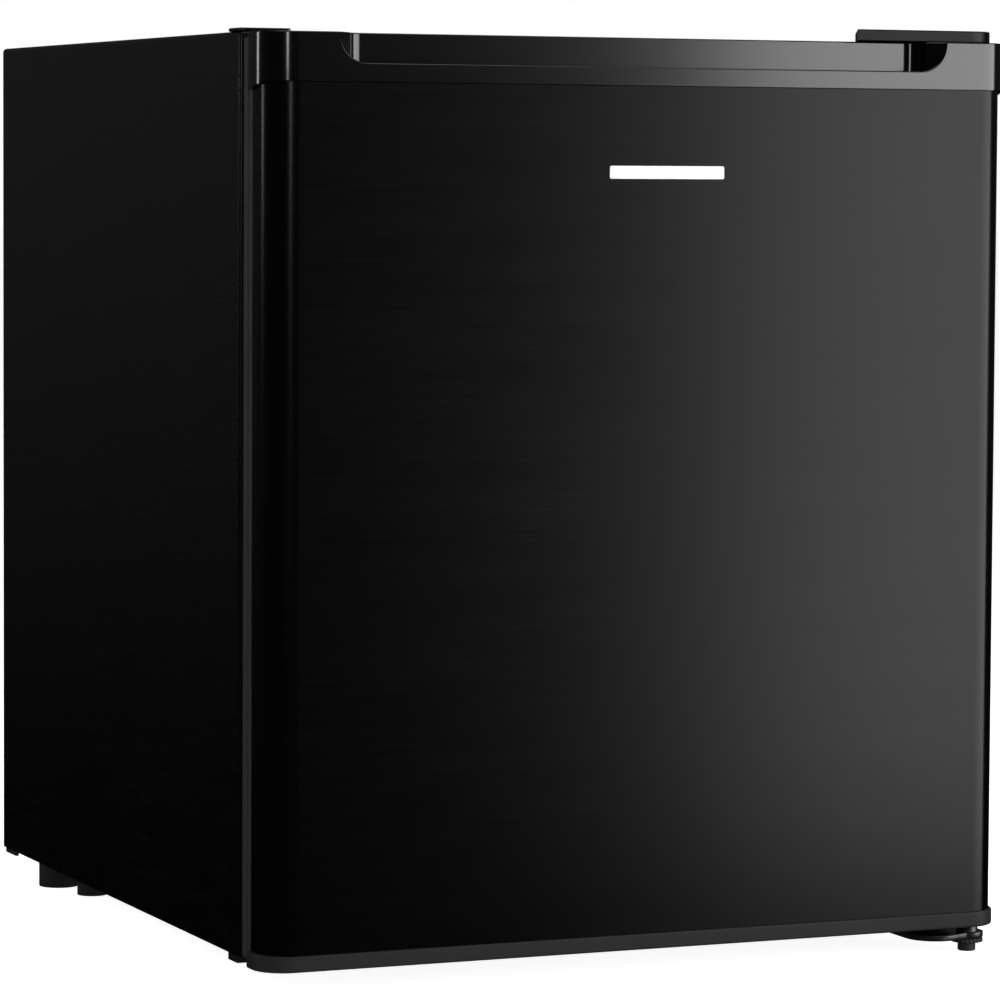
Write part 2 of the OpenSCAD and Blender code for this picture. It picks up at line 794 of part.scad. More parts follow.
module door_liner() {
    w = door_half - sheet;
    back = door_y - sheet;
    inside = dyke_x - dyke_w;
    color("#eef1f2") difference() {
        union() {
            slab([-w, back - 1.7, panel_foot], [w, back, panel_top]);
            dyke(0);
            for (side = [-1, 1], z = rack_z) {
                near = min(side * inside, side * (inside - 12));
                slab([near, back, z - 7], [near + 12, back + 22, z]);
            }
        }
        dyke(1.7);
    }
}

module door_seal() {
    lip = 16;
    lo = [-half_w + 2, cabinet_lift];
    hi = [hinge_x - 0.5, cabinet_top - 3];
    color("#3a3a3a") along_y(door_y, cab_y) difference() {
        polygon(rounded(lo, hi, 5));
        polygon(rounded(lo + [lip, lip], hi - [lip, lip], 3));
    }
}

module door_badge() {
    color("#d9d9d9") along_y(face_y - badge_t, face_y)
        polygon(rounded([-24.5, panel_top - 49], [42.5, panel_top - 42], 2));
}

module hinge_bushes() {
    color("#e8e8e8") difference() {
        union() {
            rod([hinge_x, hinge_y, door_top - 13], 13, bush_r);
            rod([hinge_x, hinge_y, door_lift], bottom_cap_h, bush_r);
        }
        rod([hinge_x, hinge_y, door_top - 14], 20, pin_r + play);
        rod([hinge_x, hinge_y, door_lift - 1], bottom_cap_h + 2, pin_r + play);
    }
}

module cap_plug() {
    color("#151515") rod([-hinge_x, hinge_y, door_top - 13], 13, bush_r);
}

module rack(z0) {
    y0 = door_y + 1.5;
    color("#eaf0f3") tray([-rack_w / 2, y0, z0], [rack_w / 2, y0 + rack_d, z0 + rack_h], 2);
}

module rack_lower() {
    rack(rack_z[0]);
}

module rack_upper() {
    rack(rack_z[1]);
}

side_sheet_left();
side_sheet_right();
top_sheet();
back_sheet();
base_sheet();
bay_lining();
cabinet_foam();
inner_liner();
base_rail();
compressor_tray();
rear_foot_left();
rear_foot_right();
wall_spacers();
hinge_blank_left();
upper_hinge();
upper_hinge_screws();
hinge_cover();
lower_hinge();
lower_hinge_screws();
evaporator();
evaporator_hangers();
ice_frame();
tray_rails();
thermostat_housing();
thermostat_switch();
compressor();
compressor_grommets();
terminal_cover();
drain_tube();
drain_water_pan();
condenser_tube();
condenser_wires();
filter_drier();
suction_tube();
cord_gland();
door_panel();
door_top_cap();
door_bottom_cap();
door_foam();
door_liner();
door_seal();
door_badge();
hinge_bushes();
cap_plug();
rack_lower();
rack_upper();
ice_flap();
drip_tray();
wire_shelf();
thermostat_knob();
thermostat_shaft();
front_foot_left();
front_foot_right();
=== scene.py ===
import math

import bmesh
import bpy
import numpy as np
from bpy.props import FloatProperty, FloatVectorProperty, IntProperty, PointerProperty
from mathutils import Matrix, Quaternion, Vector


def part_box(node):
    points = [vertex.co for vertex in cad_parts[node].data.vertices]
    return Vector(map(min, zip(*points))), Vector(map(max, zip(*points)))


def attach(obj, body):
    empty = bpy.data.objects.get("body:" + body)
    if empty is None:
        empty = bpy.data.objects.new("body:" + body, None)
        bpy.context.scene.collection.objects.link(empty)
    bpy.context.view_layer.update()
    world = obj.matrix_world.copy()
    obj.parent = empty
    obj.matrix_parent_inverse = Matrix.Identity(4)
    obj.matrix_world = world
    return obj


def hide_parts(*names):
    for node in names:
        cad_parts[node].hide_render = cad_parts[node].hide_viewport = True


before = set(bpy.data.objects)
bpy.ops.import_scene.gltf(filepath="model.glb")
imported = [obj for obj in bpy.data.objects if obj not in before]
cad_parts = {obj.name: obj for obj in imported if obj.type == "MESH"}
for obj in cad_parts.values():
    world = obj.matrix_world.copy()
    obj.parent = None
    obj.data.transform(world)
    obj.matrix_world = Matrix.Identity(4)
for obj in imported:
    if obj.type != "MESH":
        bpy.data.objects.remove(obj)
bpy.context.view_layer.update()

bl_info = {
    "name": "Compact Refrigerator",
    "version": (1, 0, 0),
    "blender": (4, 5, 0),
    "location": "View3D > Sidebar > Refrigerator",
    "description": "Builds the visible pieces of a compact refrigerator around its CAD frame",
    "category": "Object",
}

MM = 0.001


def extent(node):
    """The lowest and the highest corner of a CAD node, in millimetres."""
    low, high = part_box(node)
    return np.array(low) / MM, np.array(high) / MM


PANEL = extent("door_panel")
CAP = extent("door_top_cap")
STRIP = extent("door_bottom_cap")
SEAL = extent("door_seal")
SIDE = extent("side_sheet_right")
LINER = extent("inner_liner")
FACE_Y, DOOR_Y = PANEL[0][1], PANEL[1][1]
CAB_Y, BACK_Y = SIDE[0][1], SIDE[1][1]
CAB_FOOT, CAB_TOP = SIDE[0][2], SIDE[1][2]
HALF_W = SIDE[1][0]


# ------------------------------------------------------------ outlines and shells

def arc(centre, radius, start, end, steps=8):
    """The centre plus the radius times (cosine, sine) of angles spaced evenly from start to end, in degrees."""
    turn = np.radians(np.linspace(start, end, steps + 1))
    return np.column_stack((centre[0] + radius * np.cos(turn), centre[1] + radius * np.sin(turn)))


def rounded(low, high, radius, inset=0.0, steps=6):
    """A rectangle's outline drawn inwards by the inset.

    Each corner is a quarter circle of what is left of the radius."""
    x0, y0, x1, y1 = low[0] + inset, low[1] + inset, high[0] - inset, high[1] - inset
    left = max(radius - inset, 0.05)
    return np.vstack((
        arc((x0 + left, y0 + left), left, 180, 270, steps), arc((x1 - left, y0 + left), left, 270, 360, steps),
        arc((x1 - left, y1 - left), left, 0, 90, steps), arc((x0 + left, y1 - left), left, 90, 180, steps)))


def door_plan(half, front, back, radius, inset=0.0, back_radius=1.2, steps=14):
    """The door from above, drawn inwards by the inset.

    The front corners are large quarter circles, and the back ones small."""
    x, y0, y1 = half - inset, front + inset, back - inset
    wide, tight = max(radius - inset, 0.1), max(back_radius - inset, 0.05)
    return np.vstack((
        arc((-x + wide, y0 + wide), wide, 180, 270, steps), arc((x - wide, y0 + wide), wide, 270, 360, steps),
        arc((x - tight, y1 - tight), tight, 0, 90, 4), arc((-x + tight, y1 - tight), tight, 90, 180, 4)))


def circle(centre, radius, sides=40):
    """Points evenly spaced round a centre."""
    return arc(centre, radius, 0, 360 - 360 / sides, sides - 1)


def resampled(line, count):
    """As many points as asked for, spaced evenly by length along a line."""
    line = np.asarray(line, float)
    run = np.concatenate(([0], np.cumsum(np.linalg.norm(np.diff(line, axis=0), axis=1))))
    at = np.linspace(0, run[-1], count)
    return np.column_stack((np.interp(at, run, line[:, 0]), np.interp(at, run, line[:, 1])))


def rings(outline_at, rows, axis="z"):
    """One outline for each row of (inset, level): the outline for that inset, at that level on the axis."""
    flat = np.stack([outline_at(row[0]) for row in rows])
    level = np.broadcast_to(np.array([row[1] for row in rows], float)[:, None], flat.shape[:2])
    a, b = flat[..., 0], flat[..., 1]
    return np.stack({"z": (a, b, level), "y": (a, level, b), "x": (level, a, b)}[axis], axis=-1)


def shell(points, closed=True, caps=(True, True), loop=False):
    """A grid of points as a surface: four-sided faces between neighbours, and one flat face over each end ring.

    closed joins each ring's last point to its first, and loop joins the last ring to the first."""
    rows, count = points.shape[:2]
    index = np.arange(rows * count).reshape(rows, count)
    walk = np.vstack((index, index[:1])) if loop else index
    if closed:
        walk = np.hstack((walk, walk[:, :1]))
    quads = np.stack((walk[:-1, :-1], walk[:-1, 1:], walk[1:, 1:], walk[1:, :-1]), axis=-1).reshape(-1, 4)
    ends = [] if loop else [
        ring for ring, wanted in ((index[0, ::-1], caps[0]), (index[-1], caps[1])) if wanted]
    return points.reshape(-1, 3), quads, ends


def soft_rows(low, high, radius, steps=4):
    """Rows of (inset, level) for a wall between two levels whose two rims are quarter circles of the radius."""
    turn = np.radians(np.linspace(0, 90, steps + 1))
    foot = [(radius * (1 - math.sin(t)), low + radius * (1 - math.cos(t))) for t in turn]
    head = [(radius * (1 - math.cos(t)), high - radius * (1 - math.sin(t))) for t in turn]
    return foot + head


def slab(outline_at, low, high, radius, axis="z"):
    """A plate: its outline carried from low to high, with rounded rims."""
    return shell(rings(outline_at, soft_rows(low, high, radius), axis))


def block(low, high, corner=1.0, rim=0.6, axis="z"):
    """A box with rounded upright edges and rounded rims, lying along the axis."""
    pick = {"z": (0, 1, 2), "y": (0, 2, 1), "x": (1, 2, 0)}[axis]
    a, b, c = pick
    outline = lambda d: rounded((low[a], low[b]), (high[a], high[b]), corner, d, 4)
    return slab(outline, low[c], high[c], rim, axis)


def facing(low, high, corner, steps=6):
    """The outline, for each inset, of a rounded rectangle that faces along y."""
    return lambda inset: rounded((low[0], low[2]), (high[0], high[2]), corner, inset, steps)


def bowl_rows(low, high, wall, foot_r, floor_r, draft=0.0, steps=5):
    """Rows of (inset, level) of an open container.

    They go round its foot, up outside, over a half-round rim and down inside.
    The draft is how far the walls lean in from the rim to the foot."""
    turn = np.radians(np.linspace(0, 90, steps + 1))
    lean = lambda z: draft * (high - z) / (high - low)
    half = wall / 2
    outside = [(foot_r * (1 - math.sin(t)), low + foot_r * (1 - math.cos(t))) for t in turn]
    rim = [(half * (1 - math.cos(2 * t)), high - half + half * math.sin(2 * t)) for t in turn]
    floor = low + wall
    inside = [(wall + floor_r * (1 - math.cos(t)), floor + floor_r * (1 - math.sin(t))) for t in turn]
    return [(d + lean(z), z) for d, z in outside + rim + inside]


def lathe(profile, centre, axis="z", sides=48, caps=(True, True)):
    """A profile of (radius, level) rows turned about an axis through the centre."""
    return shell(rings(lambda r: circle(centre, r, sides), profile, axis), caps=caps)


def round_rows(low, high, radius, rim, steps=4):
    """Profile rows of (radius, level) for a cylinder with rounded rims."""
    return [(radius - d, z) for d, z in soft_rows(low, high, rim, steps)]


def tube(path, radius, upright, sides=12, closed=False):
    """Rings square to a path.

    The heading is the difference of a point's two neighbours. The ring's first direction is the heading
    crossed with the upright, and the second is the first crossed with the heading."""
    path = np.asarray(path, float)
    if closed:
        heading = np.roll(path, -1, axis=0) - np.roll(path, 1, axis=0)
    else:
        heading = np.gradient(path, axis=0)
    heading /= np.linalg.norm(heading, axis=1, keepdims=True)
    first = np.cross(heading, upright)
    first /= np.linalg.norm(first, axis=1, keepdims=True)
    second = np.cross(first, heading)
    turn = np.radians(np.arange(sides) * 360 / sides)[None, :, None]
    points = path[:, None] + radius * (np.cos(turn) * first[:, None] + np.sin(turn) * second[:, None])
    return shell(points, loop=closed)


def rod(start, end, radius, sides=12, rim=0.4):
    """A straight round bar: rings along a line, the end ones drawn in a little for a rounded rim."""
    start, end = np.asarray(start, float), np.asarray(end, float)
    length = np.linalg.norm(end - start)
    heading = (end - start) / length
    upright = np.array((1.0, 0, 0)) if abs(heading[0]) < 0.9 else np.array((0, 0, 1.0))
    first = np.cross(heading, upright)
    first /= np.linalg.norm(first)
    second = np.cross(heading, first)
    turn = np.radians(np.arange(sides) * 360 / sides)[None, :, None]
    reach = np.array((0, rim * 0.3, rim, length - rim, length - rim * 0.3, length))
    radii = radius - rim * np.array((1, 0.3, 0, 0, 0.3, 1))
    points = (start + reach[:, None] * heading)[:, None] \
        + radii[:, None, None] * (np.cos(turn) * first + np.sin(turn) * second)
    return shell(points)


# ------------------------------------------------------------ pieces

def build(name, parts, finish, body, stands_for=(), sharp=38.0, closed=True, bevel=0.0, bevel_steps=3):
    """Joins surfaces into one mesh in metres, turns closed ones outwards and smooths them.

    The piece then rides its body, takes its finish and stands for its CAD nodes."""
    points, faces, start = [], [], 0
    for spots, quads, ends in parts:
        points.append(spots)
        faces += (quads + start).tolist() + [(end + start).tolist() for end in ends]
        start += len(spots)
    mesh = bpy.data.meshes.new(name)
    mesh.from_pydata(np.vstack(points) * MM, [], faces)
    work = bmesh.new()
    work.from_mesh(mesh)
    bmesh.ops.remove_doubles(work, verts=work.verts, dist=2e-6)
    bmesh.ops.dissolve_degenerate(work, edges=work.edges, dist=1e-6)
    if closed:
        bmesh.ops.recalc_face_normals(work, faces=work.faces)
    work.to_mesh(mesh)
    work.free()
    mesh.shade_smooth()
    if not bevel:
        mesh.set_sharp_from_angle(angle=math.radians(sharp))
    made = bpy.data.objects.new(name, mesh)
    bpy.context.scene.collection.objects.link(made)
    if bevel:
        edge = made.modifiers.new("rounded_edges", "BEVEL")
        edge.width, edge.segments = bevel * MM, bevel_steps
        edge.limit_method, edge.angle_limit = "ANGLE", math.radians(25)
    shade = made.modifiers.new("flat_faces_stay_flat", "WEIGHTED_NORMAL")
    shade.keep_sharp = True
    mesh.materials.append(bpy.data.materials[finish])
    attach(made, body)
    if stands_for:
        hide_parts(*stands_for)
    return made


def soften(node, finish, body, width=0.8):
    """A merged copy of a CAD node with its edges rounded by a bevel, which stands for the node."""
    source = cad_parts[node]
    mesh = source.data.copy()
    mesh.name = node + "_rounded"
    work = bmesh.new()
    work.from_mesh(mesh)
    bmesh.ops.remove_doubles(work, verts=work.verts, dist=5e-6)
    bmesh.ops.dissolve_limit(work, angle_limit=math.radians(1.0), verts=work.verts, edges=work.edges)
    work.to_mesh(mesh)
    work.free()
    mesh.materials.clear()
    mesh.materials.append(bpy.data.materials[finish])
    mesh.shade_smooth()
    made = bpy.data.objects.new(node + "_rounded", mesh)
    bpy.context.scene.collection.objects.link(made)
    edge = made.modifiers.new("rounded_edges", "BEVEL")
    edge.width, edge.segments, edge.limit_method, edge.angle_limit = width * MM, 3, "ANGLE", math.radians(30)
    edge.harden_normals = True
    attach(made, body)
    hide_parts(node)
    return made


# ------------------------------------------------------------ finishes

def linear(code):
    """An sRGB hex colour as linear red, green, blue and one."""
    parts = [int(code[k:k + 2], 16) / 255 for k in (1, 3, 5)]
    return tuple(p / 12.92 if p <= 0.04045 else ((p + 0.055) / 1.055) ** 2.4 for p in parts) + (1.0,)


def put(tree, kind, sockets=None, **settings):
    """Adds a node, with its own settings and each socket linked to another node's or given a value."""
    made = tree.nodes.new(kind)
    for key, value in settings.items():
        setattr(made, key, value)
    for key, value in (sockets or {}).items():
        if isinstance(value, bpy.types.NodeSocket):
            tree.links.new(value, made.inputs[key])
        else:
            made.inputs[key].default_value = value
    return made


def surface(name, shade=None, **values):
    """A material with one Principled shader whose even values sit on its own sockets.

    shade(tree) may add a pattern and return the sockets to link."""
    made = bpy.data.materials.new(name)
    made.use_nodes = True
    tree = made.node_tree
    tree.nodes.clear()
    sockets = {key.replace("_", " "): value for key, value in values.items()}
    if shade:
        sockets.update(shade(tree))
    shader = put(tree, "ShaderNodeBsdfPrincipled", sockets)
    put(tree, "ShaderNodeOutputMaterial", {"Surface": shader.outputs["BSDF"]})
    made.diffuse_color = values.get("Base_Color", (0.5, 0.5, 0.5, 1.0))
    return made


def place(tree, scale=(1.0, 1.0, 1.0)):
    """Object coordinates times a scale for each axis."""
    spot = put(tree, "ShaderNodeTexCoord")
    return put(tree, "ShaderNodeMapping", {"Vector": spot.outputs["Object"], "Scale": scale}).outputs["Vector"]


def spread(tree, value, low, high, start=0.3, end=0.7):
    """A pattern's value carried from start..end to low..high."""
    return put(tree, "ShaderNodeMapRange", {
        "Value": value, "From Min": start, "From Max": end, "To Min": low, "To Max": high}).outputs["Result"]


def blended(tree, share, low, high):
    """A colour between low and high, by the share from 0 to 1."""
    made = put(tree, "ShaderNodeMix", data_type="RGBA")
    tree.links.new(share, made.inputs["Factor"])
    made.inputs[6].default_value = low
    made.inputs[7].default_value = high
    return made.outputs[2]


def brushed(line_mm, length_mm, low, high, rough, bump_mm, across):
    """Fine lines along the two level axes, for the colour, roughness and bump of a grained film.

    They are noise squeezed across the lines.
    line_mm is the spacing of the lines and length_mm their length."""
    def shade(tree):
        fine = 1000.0 / line_mm
        long = 1000.0 / length_mm
        lines = put(tree, "ShaderNodeTexNoise", {
            "Vector": place(tree, (long, long, fine)), "Scale": 1.0, "Detail": 3.0, "Roughness": 0.6})
        cloud = put(tree, "ShaderNodeTexNoise", {
            "Vector": place(tree, (9.0, 9.0, 60.0)), "Scale": 1.0, "Detail": 2.0})
        tone = blended(tree, spread(tree, lines.outputs["Fac"], 0.0, 1.0), low, high)
        uneven = put(tree, "ShaderNodeMath", {
            0: spread(tree, lines.outputs["Fac"], rough[0], rough[1]),
            1: spread(tree, cloud.outputs["Fac"], -across, across)}, operation="ADD")
        relief = put(tree, "ShaderNodeBump", {
            "Height": lines.outputs["Fac"], "Strength": 0.5, "Distance": bump_mm * MM})
        return {"Base Color": tone, "Roughness": uneven.outputs[0], "Normal": relief.outputs["Normal"]}
    return shade


def grained(grain_mm, low, high, rough, bump_mm):
    """The even grain of a moulded surface.

    Noise at the grain's size gives bump and roughness, and a slow cloud the colour."""
    def shade(tree):
        grain = put(tree, "ShaderNodeTexNoise", {
            "Vector": place(tree), "Scale": 1000.0 / grain_mm, "Detail": 2.0, "Roughness": 0.55})
        cloud = put(tree, "ShaderNodeTexNoise", {"Vector": place(tree), "Scale": 26.0, "Detail": 3.0})
        tone = blended(tree, spread(tree, cloud.outputs["Fac"], 0.0, 1.0), low, high)
        relief = put(tree, "ShaderNodeBump", {
            "Height": grain.outputs["Fac"], "Strength": 0.6, "Distance": bump_mm * MM})
        return {"Base Color": tone,
                "Roughness": spread(tree, grain.outputs["Fac"], rough[0], rough[1]),
                "Normal": relief.outputs["Normal"]}
    return shade


def spangled(size_mm, low, high, rough):
    """Zinc's crystals: Voronoi cells, each a little lighter or darker and smoother or rougher."""
    def shade(tree):
        cells = put(tree, "ShaderNodeTexVoronoi", {"Vector": place(tree), "Scale": 1000.0 / size_mm})
        apart = put(tree, "ShaderNodeSeparateColor", {"Color": cells.outputs["Color"]})
        return {"Base Color": blended(tree, apart.outputs["Red"], low, high),
                "Roughness": spread(tree, apart.outputs["Green"], rough[0], rough[1], 0, 1)}
    return shade


def make_finishes(look):
    """Every material of the refrigerator, named for what the real surface is."""
    dark = lambda colour, share: tuple(c * share for c in colour[:3]) + (1.0,)
    enamel = tuple(look.enamel) + (1.0,)
    # Coil-coated steel with a brushed print: a near-black satin face with fine level streaks
    surface("brushed_black_coated_steel",
            brushed(0.6, 22, dark(enamel, 0.7), dark(enamel, 1.4), (0.19, 0.225), 0.001, 0.006),
            Base_Color=enamel, Specular_IOR_Level=look.enamel_gloss, IOR=1.5)
    # The same coil on the cabinet, whose sides mirror less: the streaks run from front to back
    surface("brushed_black_coated_sides",
            brushed(0.8, 26, dark(enamel, 0.6), dark(enamel, 3.0), (0.20, 0.28), 0.008, 0.03),
            Base_Color=enamel, Specular_IOR_Level=0.3, IOR=1.5)
    cap = tuple(look.cap) + (1.0,)
    # Moulded ABS with a fine spark grain: a clear but softened highlight on black
    surface("black_moulded_abs", grained(0.7, dark(cap, 0.8), dark(cap, 1.2), (0.14, 0.165), 0.0012),
            Base_Color=cap, Specular_IOR_Level=0.5, IOR=1.53)
    # The same ABS from a matt-etched mould: the lid over the hinge stays flat and dark beside the glossy cap
    surface("black_matt_moulded_abs", grained(0.9, dark(cap, 0.9), dark(cap, 1.3), (0.30, 0.36), 0.004),
            Base_Color=cap, Specular_IOR_Level=0.12, IOR=1.53)
    strip = tuple(look.strip) + (1.0,)
    # Moulded ABS in dark grey, a little duller than the top cap
    surface("dark_grey_moulded_abs", grained(0.8, dark(strip, 0.9), dark(strip, 1.1), (0.45, 0.55), 0.012),
            Base_Color=strip, Specular_IOR_Level=0.15, IOR=1.53)
    seal = tuple(look.seal) + (1.0,)
    # Extruded soft PVC: dull grey, drawn lines along the strip
    surface("grey_soft_pvc_seal", grained(1.2, dark(seal, 0.9), dark(seal, 1.12), (0.5, 0.62), 0.02),
            Base_Color=seal, Specular_IOR_Level=0.25, IOR=1.53)
    # Vacuum-formed high-impact polystyrene: bright white with a soft gloss
    surface("white_formed_polystyrene", grained(3.0, linear("#e9ecec"), linear("#f4f6f6"), (0.22, 0.32), 0.03),
            Base_Color=linear("#eff1f1"), Specular_IOR_Level=0.5, IOR=1.55)
    # Clear polystyrene: see-through with a slight blue, glossy
    surface("clear_moulded_polystyrene", grained(5.0, linear("#dfeaf1"), linear("#e8f1f6"), (0.06, 0.12), 0.02),
            Base_Color=linear("#e4eef4"), Transmission_Weight=0.72, IOR=1.59)
    # Rigid polyurethane foam: pale yellow, fine open cells
    surface("polyurethane_foam", grained(1.5, linear("#d9c98c"), linear("#e6d9a4"), (0.8, 0.95), 0.3),
            Base_Color=linear("#e0d298"), IOR=1.45)
    # Zinc-plated pressed steel: cool grey with small spangles
    surface("zinc_plated_steel", spangled(3.0, linear("#a9adb0"), linear("#c3c6c8"), (0.28, 0.42)),
            Base_Color=linear("#b5b8bb"), Metallic=1.0)
    # Galvanised sheet in the compressor bay, duller than the plated parts
    surface("galvanised_sheet", spangled(7.0, linear("#6f7376"), linear("#8b8f92"), (0.4, 0.55)),
            Base_Color=linear("#7d8184"), Metallic=1.0)
    # Black dipped steel: smooth thick enamel with a slight orange peel
    surface("black_dipped_steel", grained(2.2, linear("#0a0b0c"), linear("#121315"), (0.28, 0.4), 0.05),
            Base_Color=linear("#0e0f10"), Specular_IOR_Level=0.5, IOR=1.52)
    # Roll-bonded aluminium: satin grey-white, rolling lines from front to back
    surface("rolled_aluminium",
            brushed(0.9, 60, linear("#b9bdc0"), linear("#cfd3d5"), (0.34, 0.46), 0.02, 0.03),
            Base_Color=linear("#c5c9cb"), Metallic=1.0)
    # Drawn copper tube: warm, slightly oxidised in clouds
    surface("drawn_copper", grained(6.0, linear("#a05f3c"), linear("#c98862"), (0.25, 0.4), 0.01),
            Base_Color=linear("#b87353"), Metallic=1.0)
    # Satin anodised strip with a level grain
    surface("satin_anodised_aluminium",
            brushed(0.5, 20, linear("#c9cacb"), linear("#dedfe0"), (0.3, 0.4), 0.01, 0.01),
            Base_Color=linear("#d3d4d5"), Metallic=0.6)
    # White powder coat on steel wire: slightly pebbled
    surface("white_powder_coat", grained(0.9, linear("#dfe2e3"), linear("#eceeee"), (0.35, 0.48), 0.04),
            Base_Color=linear("#e6e9e9"), IOR=1.5)
    # Moulded rubber: black, dull
    surface("black_moulded_rubber", grained(0.9, linear("#101010"), linear("#191919"), (0.65, 0.8), 0.03),
            Base_Color=linear("#141414"), IOR=1.52)
    # Natural acetal: milky white, waxy
    surface("natural_acetal", grained(1.0, linear("#dcdcd8"), linear("#e8e8e4"), (0.35, 0.45), 0.01),
            Base_Color=linear("#e2e2de"), IOR=1.48)
    # Pale studio floor: matt paint, faintly mottled
    surface("studio_floor_paint", grained(9.0, linear("#f3f3f3"), linear("#fafafa"), (0.8, 0.9), 0.01),
            Base_Color=linear("#f7f7f7"), Specular_IOR_Level=0.1, Emission_Color=(1.0, 1.0, 1.0, 1.0),
            Emission_Strength=look.floor_glow)


# Which finish each CAD node that stays visible gets
KEPT = {
    "cabinet_foam": "polyurethane_foam", "door_foam": "polyurethane_foam",
    "upper_hinge_screws": "zinc_plated_steel", "lower_hinge_screws": "zinc_plated_steel",
    "thermostat_switch": "zinc_plated_steel", "thermostat_shaft": "zinc_plated_steel",
    "drain_tube": "white_formed_polystyrene",
}


# ------------------------------------------------------------ settings

def power(name, description, default):
    """A light's power in watts."""
    return FloatProperty(name=name, description=description, default=default, unit="POWER")


def colour(name, description, code):
    """A colour, whose default is an sRGB hex value."""
    return FloatVectorProperty(name=name, description=description, subtype="COLOR", default=linear(code)[:3],
                               min=0, max=1)


def length(name, description, default):
    """A length in metres."""
    return FloatProperty(name=name, description=description, default=default, unit="LENGTH")


class FridgeStageSettings(bpy.types.PropertyGroup):
    lens: FloatProperty(name="Lens", description="Focal length of the camera", default=164.8, min=20,
                        unit="CAMERA")
    rise: FloatProperty(name="Vertical shift", default=-0.06,
                        description="Vertical shift of the camera, as a share of the frame")
    key_power: power("Softbox", "Power of the softbox on the right", 62.0)
    strip_power: power("Strip", "Power of the narrow strip beside the camera", 6.5)
    fill_power: power("Fill", "Power of the broad front fill", 25.0)
    top_power: power("Overhead", "Power of the overhead softbox", 20.0)
    back_power: power("Rim", "Power of the light behind the left side", 7.0)


class FridgeLookSettings(bpy.types.PropertyGroup):
    enamel: colour("Coated steel", "Colour of the door and the cabinet", "#020202")
    enamel_gloss: FloatProperty(name="Coating gloss", description="Specular level of the door's coating",
                                default=0.16)
    cap: colour("Top cap", "Colour of the moulded top cap", "#030303")
    strip: colour("Bottom cap", "Colour of the moulded bottom cap", "#1e1e1f")
    seal: colour("Seal", "Colour of the door seal", "#242425")
    floor_glow: FloatProperty(name="Floor glow", description="Light that the pale floor gives off",
                              default=0.92)


class FridgeShapeSettings(bpy.types.PropertyGroup):
    door_corner: length("Door corner", "Radius of the door's upright front corners", 0.017)
    cap_rim: length("Cap rim", "Rounding of the top cap's rims", 0.0008)
    scoop_width: length("Scoop width", "Width of the finger scoop", 0.354)
    scoop_cut: length("Scoop cut", "Depth of the cut in the scoop's front wall", 0.016)
    scoop_depth: length("Scoop depth", "Distance from the face to the scoop's back wall", 0.0175)
    fillet: length("Liner fillet", "Radius of the liner's formed corners", 0.012)
    shelf_wires: IntProperty(name="Shelf wires", description="Number of wires across the shelf",
                             default=21, min=5)
    channels: IntProperty(name="Evaporator channels", description="Number of raised channels round the ice box",
                          default=7, min=2)


# ------------------------------------------------------------ stage

